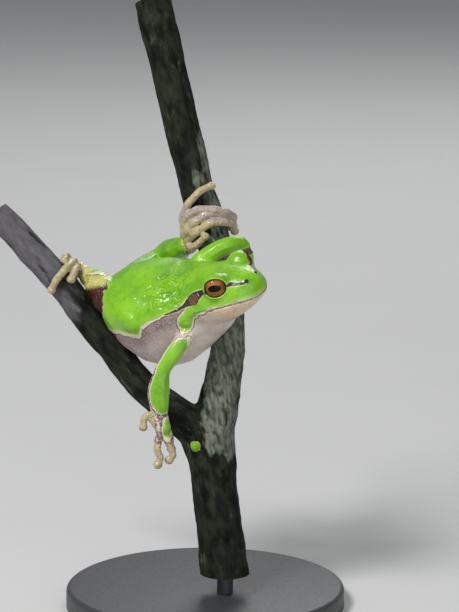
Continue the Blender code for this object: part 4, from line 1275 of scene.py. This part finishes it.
def stand_material():
    look = Look("stand_paint")
    colour = look.tones(4.0, 3, (0.040, 0.041, 0.044), (0.050, 0.051, 0.054))
    rough = look.band(look.noise(0.8, 3), 0.3, 0.7, 0.42, 0.52)
    return look.ends(colour, rough, look.relief((look.noise(0.35, 2), 0.02, 0.4)))


def stand(parts):
    """A turned base with a rounded edge, and the rod that holds the twig's cut end."""
    finish = stand_material()
    pieces = []
    for name, radius, bottom, height, edge in (
        ("base", BASE_RADIUS, 0, BASE_HEIGHT, BASE_EDGE),
        ("rod", ROD_RADIUS, BASE_HEIGHT - 0.5, ROD_LENGTH + 0.5 + ROD_SUNK, 0.1),
    ):
        middle = (bottom + height / 2) * MM
        shape = cylinder(radius, height, Matrix.Translation((0, 0, middle)), 192)
        brim = [line for line in shape.edges if all(vert.co.z > middle for vert in line.verts)]
        bmesh.ops.bevel(shape, geom=brim, offset=edge * MM, segments=6, profile=0.5, affect="EDGES")
        pieces.append(dressed(finished(shape, name, parts), finish, 40))
    pieces[1].location = (ROD_TOP.x * MM, ROD_TOP.y * MM, 0)
    return pieces


def studio():
    """A pale floor, soft lights and the camera."""
    scene = bpy.context.scene
    shape = bmesh.new()
    bmesh.ops.create_grid(shape, x_segments=1, y_segments=1, size=FLOOR_SIZE)
    floor = finished(shape, "floor", scene.collection)
    paper = Look("floor_paper")
    tone = paper.tones(40, 2, (0.60, 0.60, 0.59), (0.63, 0.63, 0.62))
    floor.data.materials.append(paper.ends(tone, 0.9))
    for name, place, size, power in LIGHTS:
        lamp = bpy.data.lights.new(name, "AREA")
        lamp.shape = "DISK"
        lamp.size = size
        lamp.energy = power
        holder = put(name, lamp, scene.collection)
        holder.location = place
        holder.rotation_euler = (Vector(LIT_PLACE) - Vector(place)).to_track_quat("-Z", "Y").to_euler()
    scene.world = bpy.data.worlds.new("sky")
    scene.world.use_nodes = True
    sky = scene.world.node_tree.nodes["Background"]
    sky.inputs["Color"].default_value = (0.75, 0.78, 0.82, 1)
    sky.inputs["Strength"].default_value = SKY
    scene.view_settings.view_transform = "Standard"
    lens = bpy.data.cameras.new("camera")
    lens.sensor_fit = "VERTICAL"
    lens.sensor_height = SENSOR
    lens.lens = SENSOR * CAMERA_DISTANCE / VIEW_HEIGHT
    camera = put("camera", lens, scene.collection)
    back = turned(0, 0, 1)
    camera.location = seen(0, 0, 0) + back * CAMERA_DISTANCE
    camera.rotation_euler = (-back).to_track_quat("-Z", "Y").to_euler()
    scene.camera = camera


def main():
    parts = new_collection("tree_frog_looks")
    helpers = new_collection("helpers")
    skin = frog_skin(helpers, parts)
    flesh = [name for name in frame["nodes"] if not name.startswith(("eye", "perch", "stand"))]
    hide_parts(*flesh)
    made = [skin]
    for side, name in ((1, "eye_left"), (-1, "eye_right")):
        for piece in eye_pieces(side, name.replace("eye", "eyeball"), parts):
            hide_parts(name)
            made.append(piece)
    twig = perch(helpers, parts)
    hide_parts("perch_stem", "perch_branch_right", "perch_branch_left")
    made.append(twig)
    for piece, node in zip(stand(parts), ("stand_base", "stand_rod")):
        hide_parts(node)
        made.append(piece)
    for helper in list(helpers.objects):
        bpy.data.objects.remove(helper)
    for piece in made:
        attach(piece, "root")
    studio()


main()
